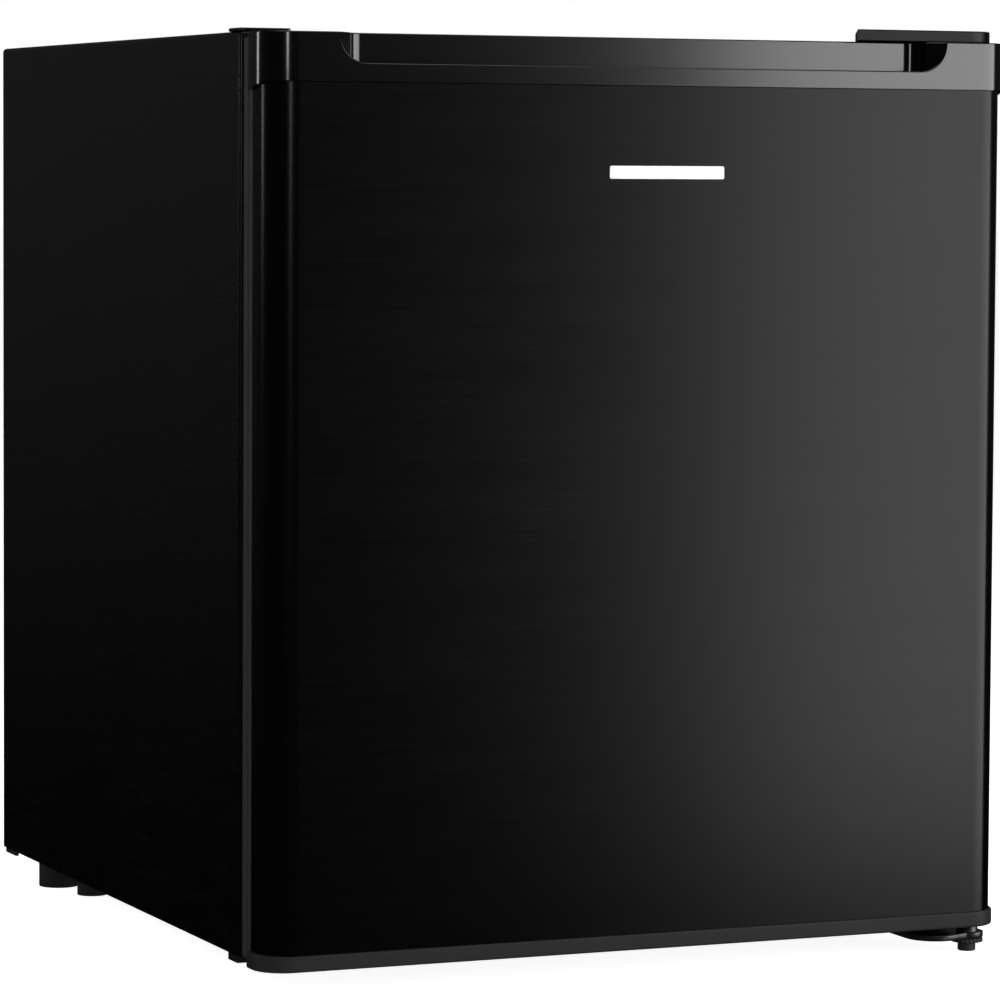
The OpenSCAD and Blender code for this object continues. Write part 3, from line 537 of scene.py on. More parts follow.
class FRIDGE_OT_stage(bpy.types.Operator):
    """Adds the camera, the lights and the pale floor"""
    bl_idname = "fridge.stage"
    bl_label = "Stage"

    def execute(self, context):
        scene, stage = context.scene, context.scene.fridge_stage
        scene.view_settings.view_transform = "Standard"
        lens = bpy.data.cameras.new("camera")
        lens.lens, lens.shift_y, lens.clip_end = stage.lens, stage.rise, 60
        lens.dof.use_dof = False
        camera = bpy.data.objects.new("camera", lens)
        yaw, pitch, roll = math.radians(23.13), math.radians(-3.40), math.radians(0.32)
        heading = Vector((math.sin(yaw) * math.cos(pitch), math.cos(yaw) * math.cos(pitch), math.sin(pitch)))
        camera.location = Vector((-1.027, -2.202 + FACE_Y * MM, 0.433))
        camera.rotation_euler = (heading.to_track_quat("-Z", "Y") @ Quaternion((0, 0, 1), roll)).to_euler()
        scene.collection.objects.link(camera)
        scene.camera = camera

        # Each light: azimuth from the front towards the hinge side, distance, height, width, tall, power,
        # and whether surfaces mirror it
        lights = (
            ("softbox_right", 47, 2.4, 0.6, 1.95, 1.8, stage.key_power, True),
            ("strip_beside_camera", -17, 2.7, 0.86, 0.20, 0.68, stage.strip_power, True),
            ("fill_front_left", -48, 3.0, 1.4, 2.2, 2.0, stage.fill_power, False),
            ("rim_left", -118, 2.4, 0.95, 0.3, 1.0, stage.back_power, True),
        )
        for name, azimuth, distance, height, width, tall, power, mirrored in lights:
            turn = math.radians(azimuth)
            spot = Vector((math.sin(turn) * distance, -math.cos(turn) * distance, height))
            self.lamp(scene, name, spot, Vector((0, 0, height)), width, tall, power, mirrored)
        above = Vector((0.2, -0.2, 2.6))
        self.lamp(scene, "overhead", above, Vector((0, 0, 0)), 1.8, 1.8, stage.top_power, True)

        world = bpy.data.worlds.new("studio_air")
        scene.world = world
        world.use_nodes = True
        tree = world.node_tree
        tree.nodes.clear()
        # The eye sees a white backdrop; surfaces mirror a dim room that is darker below
        way = put(tree, "ShaderNodeTexCoord")
        height = put(tree, "ShaderNodeSeparateXYZ", {"Vector": way.outputs["Generated"]})
        dim = put(tree, "ShaderNodeMapRange", {
            "Value": height.outputs["Z"], "From Min": -0.14, "From Max": 0.03, "To Min": 0.0, "To Max": 0.05})
        behind = put(tree, "ShaderNodeMapRange", {
            "Value": height.outputs["Y"], "From Min": -0.5, "From Max": 0.5, "To Min": 0.25, "To Max": 1.0})
        room = put(tree, "ShaderNodeMath", {0: dim.outputs["Result"], 1: behind.outputs["Result"]},
                   operation="MULTIPLY")
        seen = put(tree, "ShaderNodeLightPath")
        strength = put(tree, "ShaderNodeMix", {
            0: seen.outputs["Is Camera Ray"], 2: room.outputs["Value"], 3: 1.0})
        glow = put(tree, "ShaderNodeBackground", {"Color": (1, 1, 1, 1), "Strength": strength.outputs[0]})
        put(tree, "ShaderNodeOutputWorld", {"Surface": glow.outputs["Background"]})

        floor = self.floor(scene)
        return {"FINISHED"}

    def lamp(self, scene, name, spot, target, width, tall, power, mirrored):
        light = bpy.data.lights.new(name, "AREA")
        light.shape, light.size, light.size_y, light.energy = "RECTANGLE", width, tall, power
        lamp = bpy.data.objects.new(name, light)
        lamp.location = spot
        lamp.rotation_euler = (target - spot).to_track_quat("-Z", "Y").to_euler()
        lamp.visible_glossy = mirrored
        lamp.visible_camera = False
        scene.collection.objects.link(lamp)

    def floor(self, scene):
        """A disc of rings about the origin, level at the height where the feet stand."""
        reach = np.array((0.01, 0.4, 1, 3, 9, 30.0)) * 1000
        disc = rings(lambda r: circle((0, 0), r, 96), [(r, 0.0) for r in reach])
        points, quads, ends = shell(disc, caps=(True, False))
        mesh = bpy.data.meshes.new("studio_floor")
        mesh.from_pydata(points * MM, [], quads.tolist() + [end.tolist() for end in ends])
        mesh.materials.append(bpy.data.materials["studio_floor_paint"])
        made = bpy.data.objects.new("studio_floor", mesh)
        made.visible_glossy = False
        scene.collection.objects.link(made)
        return made


class FRIDGE_OT_finishes(bpy.types.Operator):
    """Makes the materials and puts them on the CAD nodes that stay visible"""
    bl_idname = "fridge.finishes"
    bl_label = "Finishes"

    def execute(self, context):
        make_finishes(context.scene.fridge_look)
        for node, finish in KEPT.items():
            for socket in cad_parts[node].material_slots:
                socket.material = bpy.data.materials[finish]
        return {"FINISHED"}


# ------------------------------------------------------------ outside

class FRIDGE_OT_cabinet(bpy.types.Operator):
    """Builds the folded sheet round the cabinet's sides and top, and the sheets behind and below"""
    bl_idname = "fridge.cabinet"
    bl_label = "Cabinet sheets"

    def execute(self, context):
        bend, sheet, flange = 2.5, 0.8, 14.0

        def wrap(inset):
            """Up the left side, over the top and down the right, with a bend at each upper corner."""
            left = max(bend - inset, 0.05)
            x, z = HALF_W - inset, CAB_TOP - inset
            return np.vstack(([[-x, CAB_FOOT]], arc((-x + left, z - left), left, 180, 90, 6),
                              arc((x - left, z - left), left, 90, 0, 6), [[x, CAB_FOOT]]))
        rows = [(sheet, BACK_Y), (sheet, CAB_Y + 1.6), (1.6, CAB_Y + sheet), (flange, CAB_Y + sheet),
                (flange, CAB_Y), (1.5, CAB_Y), (0.9, CAB_Y + 0.12), (0.44, CAB_Y + 0.44),
                (0.12, CAB_Y + 0.9), (0.0, CAB_Y + 1.5), (0.0, BACK_Y)]
        section = np.swapaxes(rings(wrap, rows, "y"), 0, 1)
        build("cabinet_wrapper", [shell(section)], "brushed_black_coated_sides", "cabinet",
              ("side_sheet_left", "side_sheet_right", "top_sheet"))
        for node, finish, slot, width in (
                ("base_sheet", "black_dipped_steel", "grey_steel", 0.3),
                ("back_sheet", "black_dipped_steel", "grey_steel", 0.3),
                ("bay_lining", "galvanised_sheet", "grey_steel", 0.3),
                ("base_rail", "black_dipped_steel", "black_steel", 0.8),
                ("compressor_tray", "galvanised_sheet", "black_steel", 0.4),
                ("rear_foot_left", "black_moulded_rubber", "black_abs", 1.2),
                ("rear_foot_right", "black_moulded_rubber", "black_abs", 1.2),
                ("wall_spacers", "black_moulded_abs", "black_abs", 1.5)):
            soften(node, finish, "cabinet", width)
        return {"FINISHED"}


class FRIDGE_OT_door(bpy.types.Operator):
    """Builds the door's folded panel, its bottom cap and its badge"""
    bl_idname = "fridge.door"
    bl_label = "Door panel"

    def execute(self, context):
        radius = context.scene.fridge_shape.door_corner / MM
        half, foot, head = PANEL[1][0], PANEL[0][2], PANEL[1][2]
        hem, bend, sheet = 8.0, 1.2, 0.8

        def skin(inset):
            """From the left hem's edge round the front to the right hem's edge."""
            x, y0, y1 = half - inset, FACE_Y + inset, DOOR_Y - inset
            wide, tight = radius - inset, bend - inset
            return np.vstack(([[-half + hem, y1]], arc((-x + tight, y1 - tight), tight, 90, 180, 4),
                              arc((-x + wide, y0 + wide), wide, 180, 270, 18),
                              arc((x - wide, y0 + wide), wide, 270, 360, 18),
                              arc((x - tight, y1 - tight), tight, 0, 90, 4), [[half - hem, y1]]))
        section = np.vstack((skin(0.0), skin(sheet)[::-1]))
        levels = np.linspace(foot, head, 3)
        points = np.stack([np.column_stack((section, np.full(len(section), z))) for z in levels])
        build("door_skin", [shell(points)], "brushed_black_coated_steel", "door",
              ("door_panel",))

        low, high = STRIP
        foot_cap = slab(lambda d: door_plan(high[0], FACE_Y, DOOR_Y, radius + 1, d), low[2], high[2], 1.3)
        build("door_foot_cap", [foot_cap],
              "dark_grey_moulded_abs", "door", ("door_bottom_cap",))

        low, high = extent("door_badge")
        badge = slab(facing(low, high, 1.0), low[1], high[1], 0.25, "y")
        build("door_badge_plate", [badge], "satin_anodised_aluminium", "door", ("door_badge",))
        return {"FINISHED"}


class FRIDGE_OT_top_cap(bpy.types.Operator):
    """Builds the moulded top cap with its finger scoop"""
    bl_idname = "fridge.top_cap"
    bl_label = "Top cap"

    def execute(self, context):
        shape = context.scene.fridge_shape
        half, foot, top = CAP[1][0], PANEL[1][2], CAP[1][2]
        radius, rim = shape.door_corner / MM + 1, shape.cap_rim / MM
        end = shape.scoop_width / MM / 2
        cut, deep = shape.scoop_cut / MM, shape.scoop_depth / MM
        wall, floor = 2 * rim, foot + 3.0
        back, corner = FACE_Y + deep, 9.0

        # Along the front: x positions crowded where the cut's quarter circles are steep
        turn = np.radians(np.linspace(0, 90, 15))
        quarter = end - cut + cut * np.cos(turn)
        drop = cut * np.sin(turn)
        middle = np.linspace(-(end - cut), end - cut, 26)[1:-1]
        front_x = np.concatenate((-quarter, middle, quarter[::-1]))
        front_drop = np.concatenate((drop, np.full(len(middle), cut), drop[::-1]))

        tight = 1.2
        outer_right = np.vstack(([[end, FACE_Y]], arc((half - radius, FACE_Y + radius), radius, 270, 360, 18),
                                 arc((half - tight, DOOR_Y - tight), tight, 0, 90, 4)))
        inner_right = np.vstack(([[end, FACE_Y + wall]],
                                 arc((end - 2 * corner, back - corner), corner, 0, 90, 12)))
        end_points, back_points = 44, 24
        out_r, in_r = resampled(outer_right, end_points), resampled(inner_right, end_points)
        across = lambda x, y: np.column_stack((np.linspace(x, -x, back_points), np.full(back_points, y)))[1:-1]
        out_b, in_b = across(out_r[-1][0], DOOR_Y), across(in_r[-1][0], back)
        out_l, in_l = out_r[::-1] * (-1, 1), in_r[::-1] * (-1, 1)
        front = lambda y: np.column_stack((front_x, np.full_like(front_x, y)))
        outer = np.vstack((front(FACE_Y), out_r[1:], out_b, out_l[:-1]))
        inner = np.vstack((front(FACE_Y + wall), in_r[1:], in_b, in_l[:-1]))
        rest = len(outer) - len(front_x)
        sill = top - np.concatenate((front_drop, np.zeros(rest)))

        def pulled(line, amount):
            """The closed line drawn in along its own normals, which are its tangents turned a quarter."""
            tangent = np.roll(line, -1, axis=0) - np.roll(line, 1, axis=0)
            tangent /= np.maximum(np.linalg.norm(tangent, axis=1, keepdims=True), 1e-9)
            return line + amount * np.column_stack((-tangent[:, 1], tangent[:, 0]))

        ring = lambda line, level: np.column_stack((line, np.broadcast_to(level, len(line))))
        bend = np.radians(np.linspace(0, 90, 5))
        stack = [ring(pulled(outer, 0.8), foot), ring(pulled(outer, 0.2), foot + 0.2), ring(outer, foot + 0.8)]
        stack += [ring(pulled(outer, rim * (1 - math.cos(t))), sill - rim * (1 - math.sin(t))) for t in bend]
        stack += [ring(pulled(inner, -rim * (1 - math.sin(t))), sill - rim * (1 - math.cos(t))) for t in bend]
        pit = 3.0
        stack += [ring(pulled(inner, pit * (1 - math.cos(t))), floor + pit * (1 - math.sin(t))) for t in bend]
        # Beside the panel each side reaches down, more towards the back: a wedge outside the panel's side
        inside, reach = PANEL[1][0] + 0.05, foot - CAP[0][2]
        start = radius - math.sqrt(radius ** 2 - (inside + 0.02 - half + radius) ** 2)
        depth = np.concatenate((np.linspace(start, radius, 9),
                                np.linspace(radius, DOOR_Y - FACE_Y - 0.4, 4)[1:]))
        side = half - radius + np.sqrt(radius ** 2 - np.clip(radius - depth, 0, None) ** 2)
        low = foot - reach * np.clip((depth - 8) / (DOOR_Y - FACE_Y - 8), 0, 1)
        near, above = np.full_like(side, inside), np.full_like(side, foot + 1.0)
        corners = ((side, above), (side, low), (near, low), (near, above))
        ears = [shell(np.stack([np.column_stack((way * x, FACE_Y + depth, z)) for x, z in corners], axis=1))
                for way in (-1, 1)]
        build("door_top_cap_moulding", [shell(np.stack(stack))] + ears, "black_moulded_abs", "door",
              ("door_top_cap",))
        return {"FINISHED"}


class FRIDGE_OT_seal(bpy.types.Operator):
    """Builds the magnetic seal as a bellows profile carried round the door"""
    bl_idname = "fridge.seal"
    bl_label = "Door seal"

    def execute(self, context):
        low, high = (SEAL[0][0], SEAL[0][2]), (SEAL[1][0], SEAL[1][2])
        y0, y1 = SEAL[0][1], SEAL[1][1]
        rows = [(0.9, y0), (0.3, y0 + 0.4), (0.0, y0 + 1.4), (0.0, y0 + 3.6), (0.5, y0 + 4.6), (1.5, y0 + 5.4),
                (1.5, y0 + 5.9), (0.5, y0 + 6.7), (0.0, y0 + 7.7), (0.0, y1 - 1.2), (0.3, y1 - 0.4), (1.2, y1),
                (14.6, y1), (15.6, y1 - 0.5), (16.0, y1 - 1.6), (14.2, y1 - 4.2), (14.2, y1 - 6.4), (15.8, y0 + 2.4),
                (15.4, y0 + 0.5), (14.6, y0)]
        ringed = rings(lambda d: rounded(low, high, 1.2, d, 4), rows, "y")
        build("door_seal_bellows", [shell(ringed, loop=True)], "grey_soft_pvc_seal", "door",
              ("door_seal",), sharp=60)
        return {"FINISHED"}


class FRIDGE_OT_hinges(bpy.types.Operator):
    """Builds the hinge cover, the blanking plate, the bushes, the plug and both hinge leaves"""
    bl_idname = "fridge.hinges"
    bl_label = "Hinges"

    def execute(self, context):
        low, high = extent("hinge_cover")

        def cover(inset):
            """The cover from above, with a broad front corner on the right and a left side that slants away."""
            x0, y0, x1, y1 = low[0] + 1.6 * inset, low[1] + inset, high[0] - inset, high[1] - inset
            broad, tight = 18 - inset, 5 - inset
            slant = np.array(((low[0] + 31 + 0.6 * inset, y1), (x0, y0)))
            return np.vstack((slant[1:], arc((x1 - broad, y0 + broad), broad, 270, 360, 14),
                              arc((x1 - tight, y1 - tight), tight, 0, 90, 6), slant[:1]))
        foot, head, wall = low[2], high[2], 1.2
        edge = [(0.8 * (1 - math.cos(t)), head - 0.8 * (1 - math.sin(t)))
                for t in np.radians(np.linspace(0, 90, 5))]
        rows = [(wall, head - wall), (wall, foot), (0.4, foot), (0.0, foot + 0.4)] + edge
        build("hinge_cover_moulding", [shell(rings(cover, rows))], "black_matt_moulded_abs", "cabinet",
              ("hinge_cover",))

        low, high = extent("hinge_blank_left")
        plate = slab(lambda d: rounded(low[:2], high[:2], 2.0, d), low[2], high[2], 0.7)
        build("hinge_blank_plate", [plate], "black_moulded_abs", "cabinet", ("hinge_blank_left",))

        low, high = extent("hinge_bushes")
        centre = (low[:2] + high[:2]) / 2
        bush_r, pin_r = (high[0] - low[0]) / 2, 2.55
        collars = []
        for z0, z1 in ((low[2], low[2] + 9.0), (high[2] - 13.0, high[2] - 0.05)):
            profile = [(pin_r, z0), (bush_r - 0.3, z0), (bush_r, z0 + 0.3),
                       (bush_r, z1 - 0.3), (bush_r - 0.3, z1), (pin_r, z1)]
            collars.append(shell(rings(lambda r: circle(centre, r, 32), profile), loop=True))
        build("hinge_bush_pair", collars, "natural_acetal", "door", ("hinge_bushes",))

        low, high = extent("cap_plug")
        centre = (low[:2] + high[:2]) / 2
        reach = (high[0] - low[0]) / 2
        dome = [(reach, low[2]), (reach, high[2] + 0.1), (reach * 0.96, high[2] + 0.3), (reach * 0.8, high[2] + 0.45),
                (reach * 0.4, high[2] + 0.55), (0.3, high[2] + 0.55)]
        build("cap_plug_domed", [lathe(dome, centre, sides=32)], "black_moulded_abs", "door",
              ("cap_plug",))

        soften("upper_hinge", "zinc_plated_steel", "cabinet", 0.4)
        soften("lower_hinge", "black_dipped_steel", "cabinet", 0.5)
        return {"FINISHED"}


class FRIDGE_OT_feet(bpy.types.Operator):
    """Builds the two turning front feet: a pad, a knurled flange and a threaded stem"""
    bl_idname = "fridge.feet"
    bl_label = "Front feet"

    def execute(self, context):
        for node, body in (("front_foot_left", "foot_left"), ("front_foot_right", "foot_right")):
            low, high = extent(node)
            x, y = (low[:2] + high[:2]) / 2
            flange_r, pitch, thread_r = (high[0] - low[0]) / 2, 1.25, 3.9

            def flange(inset):
                """A circle whose radius dips 24 times round, for the finger grip."""
                turn = np.linspace(0, 2 * math.pi, 192, endpoint=False)
                reach = flange_r - inset - 0.35 * (0.5 - 0.5 * np.cos(24 * turn)) ** 2
                return np.column_stack((x + reach * np.cos(turn), y + reach * np.sin(turn)))
            foot = [lathe(round_rows(0.0, 5.2, 5.0, 0.8), (x, y), sides=40), slab(flange, 5.0, 7.4, 0.5)]

            turns = (high[2] - 7.4) / pitch
            rows, sides = int(turns * 16), 32
            level = np.linspace(7.3, high[2], rows)[:, None]
            turn = np.linspace(0, 2 * math.pi, sides, endpoint=False)[None]
            # The thread: the radius is a rounded saw of height above the foot less the turn, one pitch a turn
            wave = np.abs(((level / pitch - turn / (2 * math.pi)) % 1.0) * 2 - 1)
            reach = thread_r - 0.55 * wave
            stem = np.stack((x + reach * np.cos(turn), y + reach * np.sin(turn), level + 0 * turn), axis=-1)
            build(node + "_turned", foot + [shell(stem)], "black_moulded_rubber", body, (node,),
                  sharp=50)
        return {"FINISHED"}


# ------------------------------------------------------------ inside

class FRIDGE_OT_liners(bpy.types.Operator):
    """Builds the formed inner liner with its shelf ledges, and the door liner with its raised dyke"""
    bl_idname = "fridge.liners"
    bl_label = "Liners"

    def execute(self, context):
        shape = context.scene.fridge_shape
        foam = 38.0
        wide, foot, roof = HALF_W - foam, CAB_FOOT + foam, CAB_TOP - foam
        back, step_y, step_z = BACK_Y - 43.0, BACK_Y - 176.0, 190.0
        flange = 14.0
        lip_x, lip_low, lip_high = HALF_W - flange, CAB_FOOT + flange, CAB_TOP - flange
        # The tub's side outline, seen from the right: open at the front, with a step over the compressor bay
        outline = np.array(((CAB_Y, foot), (step_y, foot), (step_y, step_z), (back, step_z), (back, roof),
                            (CAB_Y, roof)))
        sides = np.stack([np.column_stack((np.full(6, x), outline)) for x in (-wide, wide)])
        rim = np.array([(-lip_x, CAB_Y, lip_low), (lip_x, CAB_Y, lip_low), (lip_x, CAB_Y, lip_high),
                        (-lip_x, CAB_Y, lip_high)])
        points = np.vstack((sides.reshape(-1, 3), rim))
        quads = np.array([(k, k + 1, k + 7, k + 6) for k in range(5)]
                         + [(12, 13, 6, 0), (13, 14, 11, 6), (14, 15, 5, 11), (15, 12, 0, 5)])[:, ::-1]
        walls = [np.array((0, 5, 4, 3, 2, 1)), np.array((6, 7, 8, 9, 10, 11))]
        tub = build("liner_tub", [(points, quads, walls)], "white_formed_polystyrene", "cabinet",
                    ("inner_liner",), closed=False, bevel=shape.fillet / MM, bevel_steps=6)
        middle = Vector((0, 0, (foot + roof) / 2 * MM))
        self.face(tub, lambda centre: middle - centre)
        self.thicken(tub, 1.3)

        ledge, shelf = 6.0, extent("wire_shelf")
        bars = []
        for side in (-1, 1):
            x0, x1 = sorted((side * (wide + 0.4), side * (wide - ledge)))
            for z0 in (shelf[0][2] - 4.2, shelf[1][2] + 1.0):
                bars.append(block((x0, CAB_Y + 74, z0), (x1, back - 8, z0 + 4), 1.2, 1.6, "y"))
        build("liner_shelf_ledges", bars, "white_formed_polystyrene", "cabinet")

        low, high = extent("door_liner")
        half = high[0]
        plate_y, tip = DOOR_Y - 0.8, high[1]
        ring_low, ring_high = (-HALF_W + 48.0, foot + 10.0), (HALF_W - 48.0, roof - 25.0)
        broad, slant, soft = 24.0, 2.0, 5.0
        bend = np.radians(np.linspace(0, 90, 6))
        rise = [(soft * (1 - math.sin(t)) - soft, plate_y + soft * (1 - math.cos(t))) for t in bend]
        crest = [(slant + soft * (1 - math.cos(t)), tip - soft * (1 - math.sin(t))) for t in bend]
        fall = [(broad - slant - soft * (1 - math.sin(t)), tip - soft * (1 - math.cos(t))) for t in bend]
        land = [(broad + soft * (1 - math.cos(t)), plate_y + soft * (1 - math.sin(t))) for t in bend]
        rows = rise + crest + fall + land
        corner = lambda d: 12.0 if d < broad / 2 else broad + 8.0
        inner = rings(lambda d: rounded(ring_low, ring_high, corner(d), d, 8), rows, "y")
        rim_ring = rings(lambda d: rounded((-half, low[2]), (half, high[2]), 2.0, 0, 8), [(0, plate_y)], "y")
        points = np.concatenate((rim_ring, inner))
        parts = [shell(points, caps=(False, True))]
        made = build("door_liner_formed", parts, "white_formed_polystyrene", "door", ("door_liner",),
                     closed=False)
        self.face(made, lambda centre: Vector((0, 1, 0)))
        self.thicken(made, 1.2)

        lugs = []
        for node in ("rack_lower", "rack_upper"):
            z = extent(node)[0][2]
            for side in (-1, 1):
                x0, x1 = sorted((side * (ring_high[0] - broad + 0.5), side * (ring_high[0] - broad - 12)))
                lugs.append(block((x0, plate_y, z - 7), (x1, plate_y + 22, z - 0.05), 2.0, 1.5, "y"))
        build("door_rack_lugs", lugs, "white_formed_polystyrene", "door")
        return {"FINISHED"}

    def face(self, made, way_at):
        """Turns an open sheet so that its faces, on the whole, look the way given for their centres."""
        work = bmesh.new()
        work.from_mesh(made.data)
        bmesh.ops.recalc_face_normals(work, faces=work.faces)
        if sum(f.normal.dot(way_at(f.calc_center_median())) * f.calc_area() for f in work.faces) < 0:
            bmesh.ops.reverse_faces(work, faces=work.faces)
        work.to_mesh(made.data)
        work.free()

    def thicken(self, made, sheet_mm):
        """Gives an open sheet a wall behind its faces."""
        wall = made.modifiers.new("wall", "SOLIDIFY")
        wall.thickness, wall.offset = sheet_mm * MM, -1.0


class FRIDGE_OT_racks(bpy.types.Operator):
    """Builds the two clear door racks"""
    bl_idname = "fridge.racks"
    bl_label = "Door racks"

    def execute(self, context):
        for node in ("rack_lower", "rack_upper"):
            low, high = extent(node)
            rows = bowl_rows(low[2], high[2], 2.0, 3.0, 3.0, 1.2)
            parts = [shell(rings(lambda d: rounded(low[:2], high[:2], 10.0, d, 8), rows))]
            bead = rounded(low[:2], high[:2], 10.0, 1.1, 8)
            path = np.column_stack((bead, np.full(len(bead), high[2] - 1.3)))
            parts.append(tube(path, 1.3, (0, 0, 1), 10, True))
            build(node + "_moulding", parts, "clear_moulded_polystyrene", node, (node,), sharp=45)
        return {"FINISHED"}


class FRIDGE_OT_shelf(bpy.types.Operator):
    """Builds the coated wire shelf: a bent frame, two cross bars and wires"""
    bl_idname = "fridge.shelf"
    bl_label = "Wire shelf"

    def execute(self, context):
        low, high = extent("wire_shelf")
        count = context.scene.fridge_shape.shelf_wires
        frame_r, wire_r = 2.5, 1.3
        loop = rounded(low[:2], high[:2], 12.0, frame_r, 8)
        path = np.column_stack((loop, np.full(len(loop), low[2] + frame_r)))
        parts = [tube(path, frame_r, (0, 0, 1), 14, True)]
        for x in np.linspace(low[0] + 14, high[0] - 14, count):
            path = np.array([(x, y, z) for y, z in ((low[1] + 3, low[2] + 3.6), (low[1] + 9, low[2] + 3.75),
                                                    (high[1] - 9, low[2] + 3.75), (high[1] - 3, low[2] + 3.6))])
            parts.append(tube(path, wire_r - 0.1, (0, 0, 1), 10))
        for share in (0.33, 0.67):
            y = low[1] + share * (high[1] - low[1])
            parts.append(rod((low[0] + 2.5, y, low[2] + 1.5), (high[0] - 2.5, y, low[2] + 1.5), 1.5, 12))
        build("wire_shelf_welded", parts, "white_powder_coat", "shelf", ("wire_shelf",), sharp=60)
        return {"FINISHED"}


class FRIDGE_OT_ice_box(bpy.types.Operator):
    """Builds the roll-bonded evaporator, its front frame, the flap, the rails and the drip tray"""
    bl_idname = "fridge.ice_box"
    bl_label = "Ice compartment"

    def execute(self, context):
        low, high = extent("evaporator")
        thick, lift = 1.4, 0.9
        outline = facing(low, high, 10.0, 10)
        count = 360
        outer, inner = (resampled(np.vstack((line, line[:1])), count + 1)[:-1]
                        for line in (outline(lift), outline(lift + thick)))
        y = np.linspace(low[1] + 0.6, high[1] - 0.6, 84)
        # Channels: a smooth bump across the depth, repeated evenly, and faded out at the two upright corners
        pitch = (high[1] - low[1] - 30) / context.scene.fridge_shape.channels
        bump = np.clip(np.cos((y - low[1] - 15 - pitch / 2) * 2 * math.pi / pitch) * 1.6 - 0.35, 0, 1) ** 0.7
        bump = bump * (np.abs(y - (low[1] + high[1]) / 2) < (high[1] - low[1]) / 2 - 15)
        normal = outer - inner
        normal /= np.linalg.norm(normal, axis=1, keepdims=True)
        run = np.linspace(0, 1, count, endpoint=False)
        fade = np.clip(np.abs(np.sin(run * 4 * math.pi + 0.4)) * 2.2, 0, 1)
        raised = outer[None] + lift * bump[:, None, None] * fade[None, :, None] * normal[None]
        out = np.stack((raised[..., 0], np.broadcast_to(y[:, None], raised.shape[:2]), raised[..., 1]), axis=-1)
        back, mouth = (np.stack((inner[:, 0], np.full(count, level), inner[:, 1]), axis=-1)[None]
                       for level in (y[-1] - thick, y[0]))
        grid = np.concatenate((back, mouth, out))
        build("evaporator_roll_bonded", [shell(grid)], "rolled_aluminium", "cabinet",
              ("evaporator",), sharp=50)

        low, high = extent("ice_frame")
        flap_top = extent("ice_flap")[1][2]
        front = high[1] - 8.0
        x0, x1, z0, z1 = low[0] + 10.0, high[0] - 10.0, low[2] + 16.0, high[2] - 10.0
        outer_rows = [(0.9, high[1]), (0.0, high[1] - 0.9), (0.0, front + 1.0), (0.3, front + 0.3), (1.0, front)]
        outer_ring = rings(facing(low, high, 4.0, 8), outer_rows, "y")
        inner_rows = [(-inset, level) for inset, level in outer_rows[::-1]]
        inner_ring = rings(lambda d: rounded((x0, z0), (x1, z1), 6.0, d, 8), inner_rows, "y")
        parts = [shell(np.concatenate((outer_ring, inner_ring)), loop=True)]
        for x in (low[0], high[0] - 5.0):
            parts.append(block((x, low[1], flap_top - 6.0), (x + 5.0, front + 1, flap_top + 2.0), 1.5, 0.8, "x"))
        build("ice_box_front_frame", parts, "white_formed_polystyrene", "cabinet", ("ice_frame",))

        low, high = extent("ice_flap")
        pin_r, x0, x1 = 2.0, low[0] + 5.0, high[0] - 5.0
        back, sheet = high[1], 3.8
        outline = lambda d: rounded((x0, low[2]), (x1, high[2] - 0.1), 5.0, d)
        plate = slab(outline, back - sheet, back - 0.1, 0.9, "y")
        middle = (x0 + x1) / 2
        grip = block((middle - 30, back - 7.8, low[2] + 7), (middle + 30, back - 3.4, low[2] + 13), 2.5, 1.2, "x")
        pin_y, pin_z = back - 2.0, high[2] - 2.0
        pins = rod((low[0] + 0.1, pin_y, pin_z), (high[0] - 0.1, pin_y, pin_z), pin_r - 0.03, 20)
        ribs = [block((x0 + 8, back - 4.6, low[2] + share * (high[2] - low[2])),
                      (x1 - 8, back - 3.5, low[2] + share * (high[2] - low[2]) + 1.4), 0.4, 0.3, "x")
                for share in (0.34, 0.42, 0.5, 0.58, 0.66)]
        build("ice_flap_moulding", [plate, grip, pins] + ribs, "clear_moulded_polystyrene", "ice_flap",
              ("ice_flap",))

        low, high = extent("drip_tray")
        brim = 1.6
        basin = rings(lambda d: rounded((low[0] + 6, low[1]), (high[0] - 6, high[1]), 6.0, d, 8),
                      bowl_rows(low[2], high[2], 2.0, 2.5, 3.0, 0.0))
        wing = 7.5
        wings = [block((x, low[1] + 1, high[2] - brim), (x + wing, high[1] - 1, high[2] - 0.05), 1.5, 0.5)
                 for x in (low[0], high[0] - wing)]
        build("drip_tray_moulding", [shell(basin)] + wings, "clear_moulded_polystyrene", "drip_tray",
              ("drip_tray",))
        soften("tray_rails", "white_formed_polystyrene", "cabinet", 0.4)
        soften("evaporator_hangers", "white_formed_polystyrene", "cabinet", 0.8)
        return {"FINISHED"}


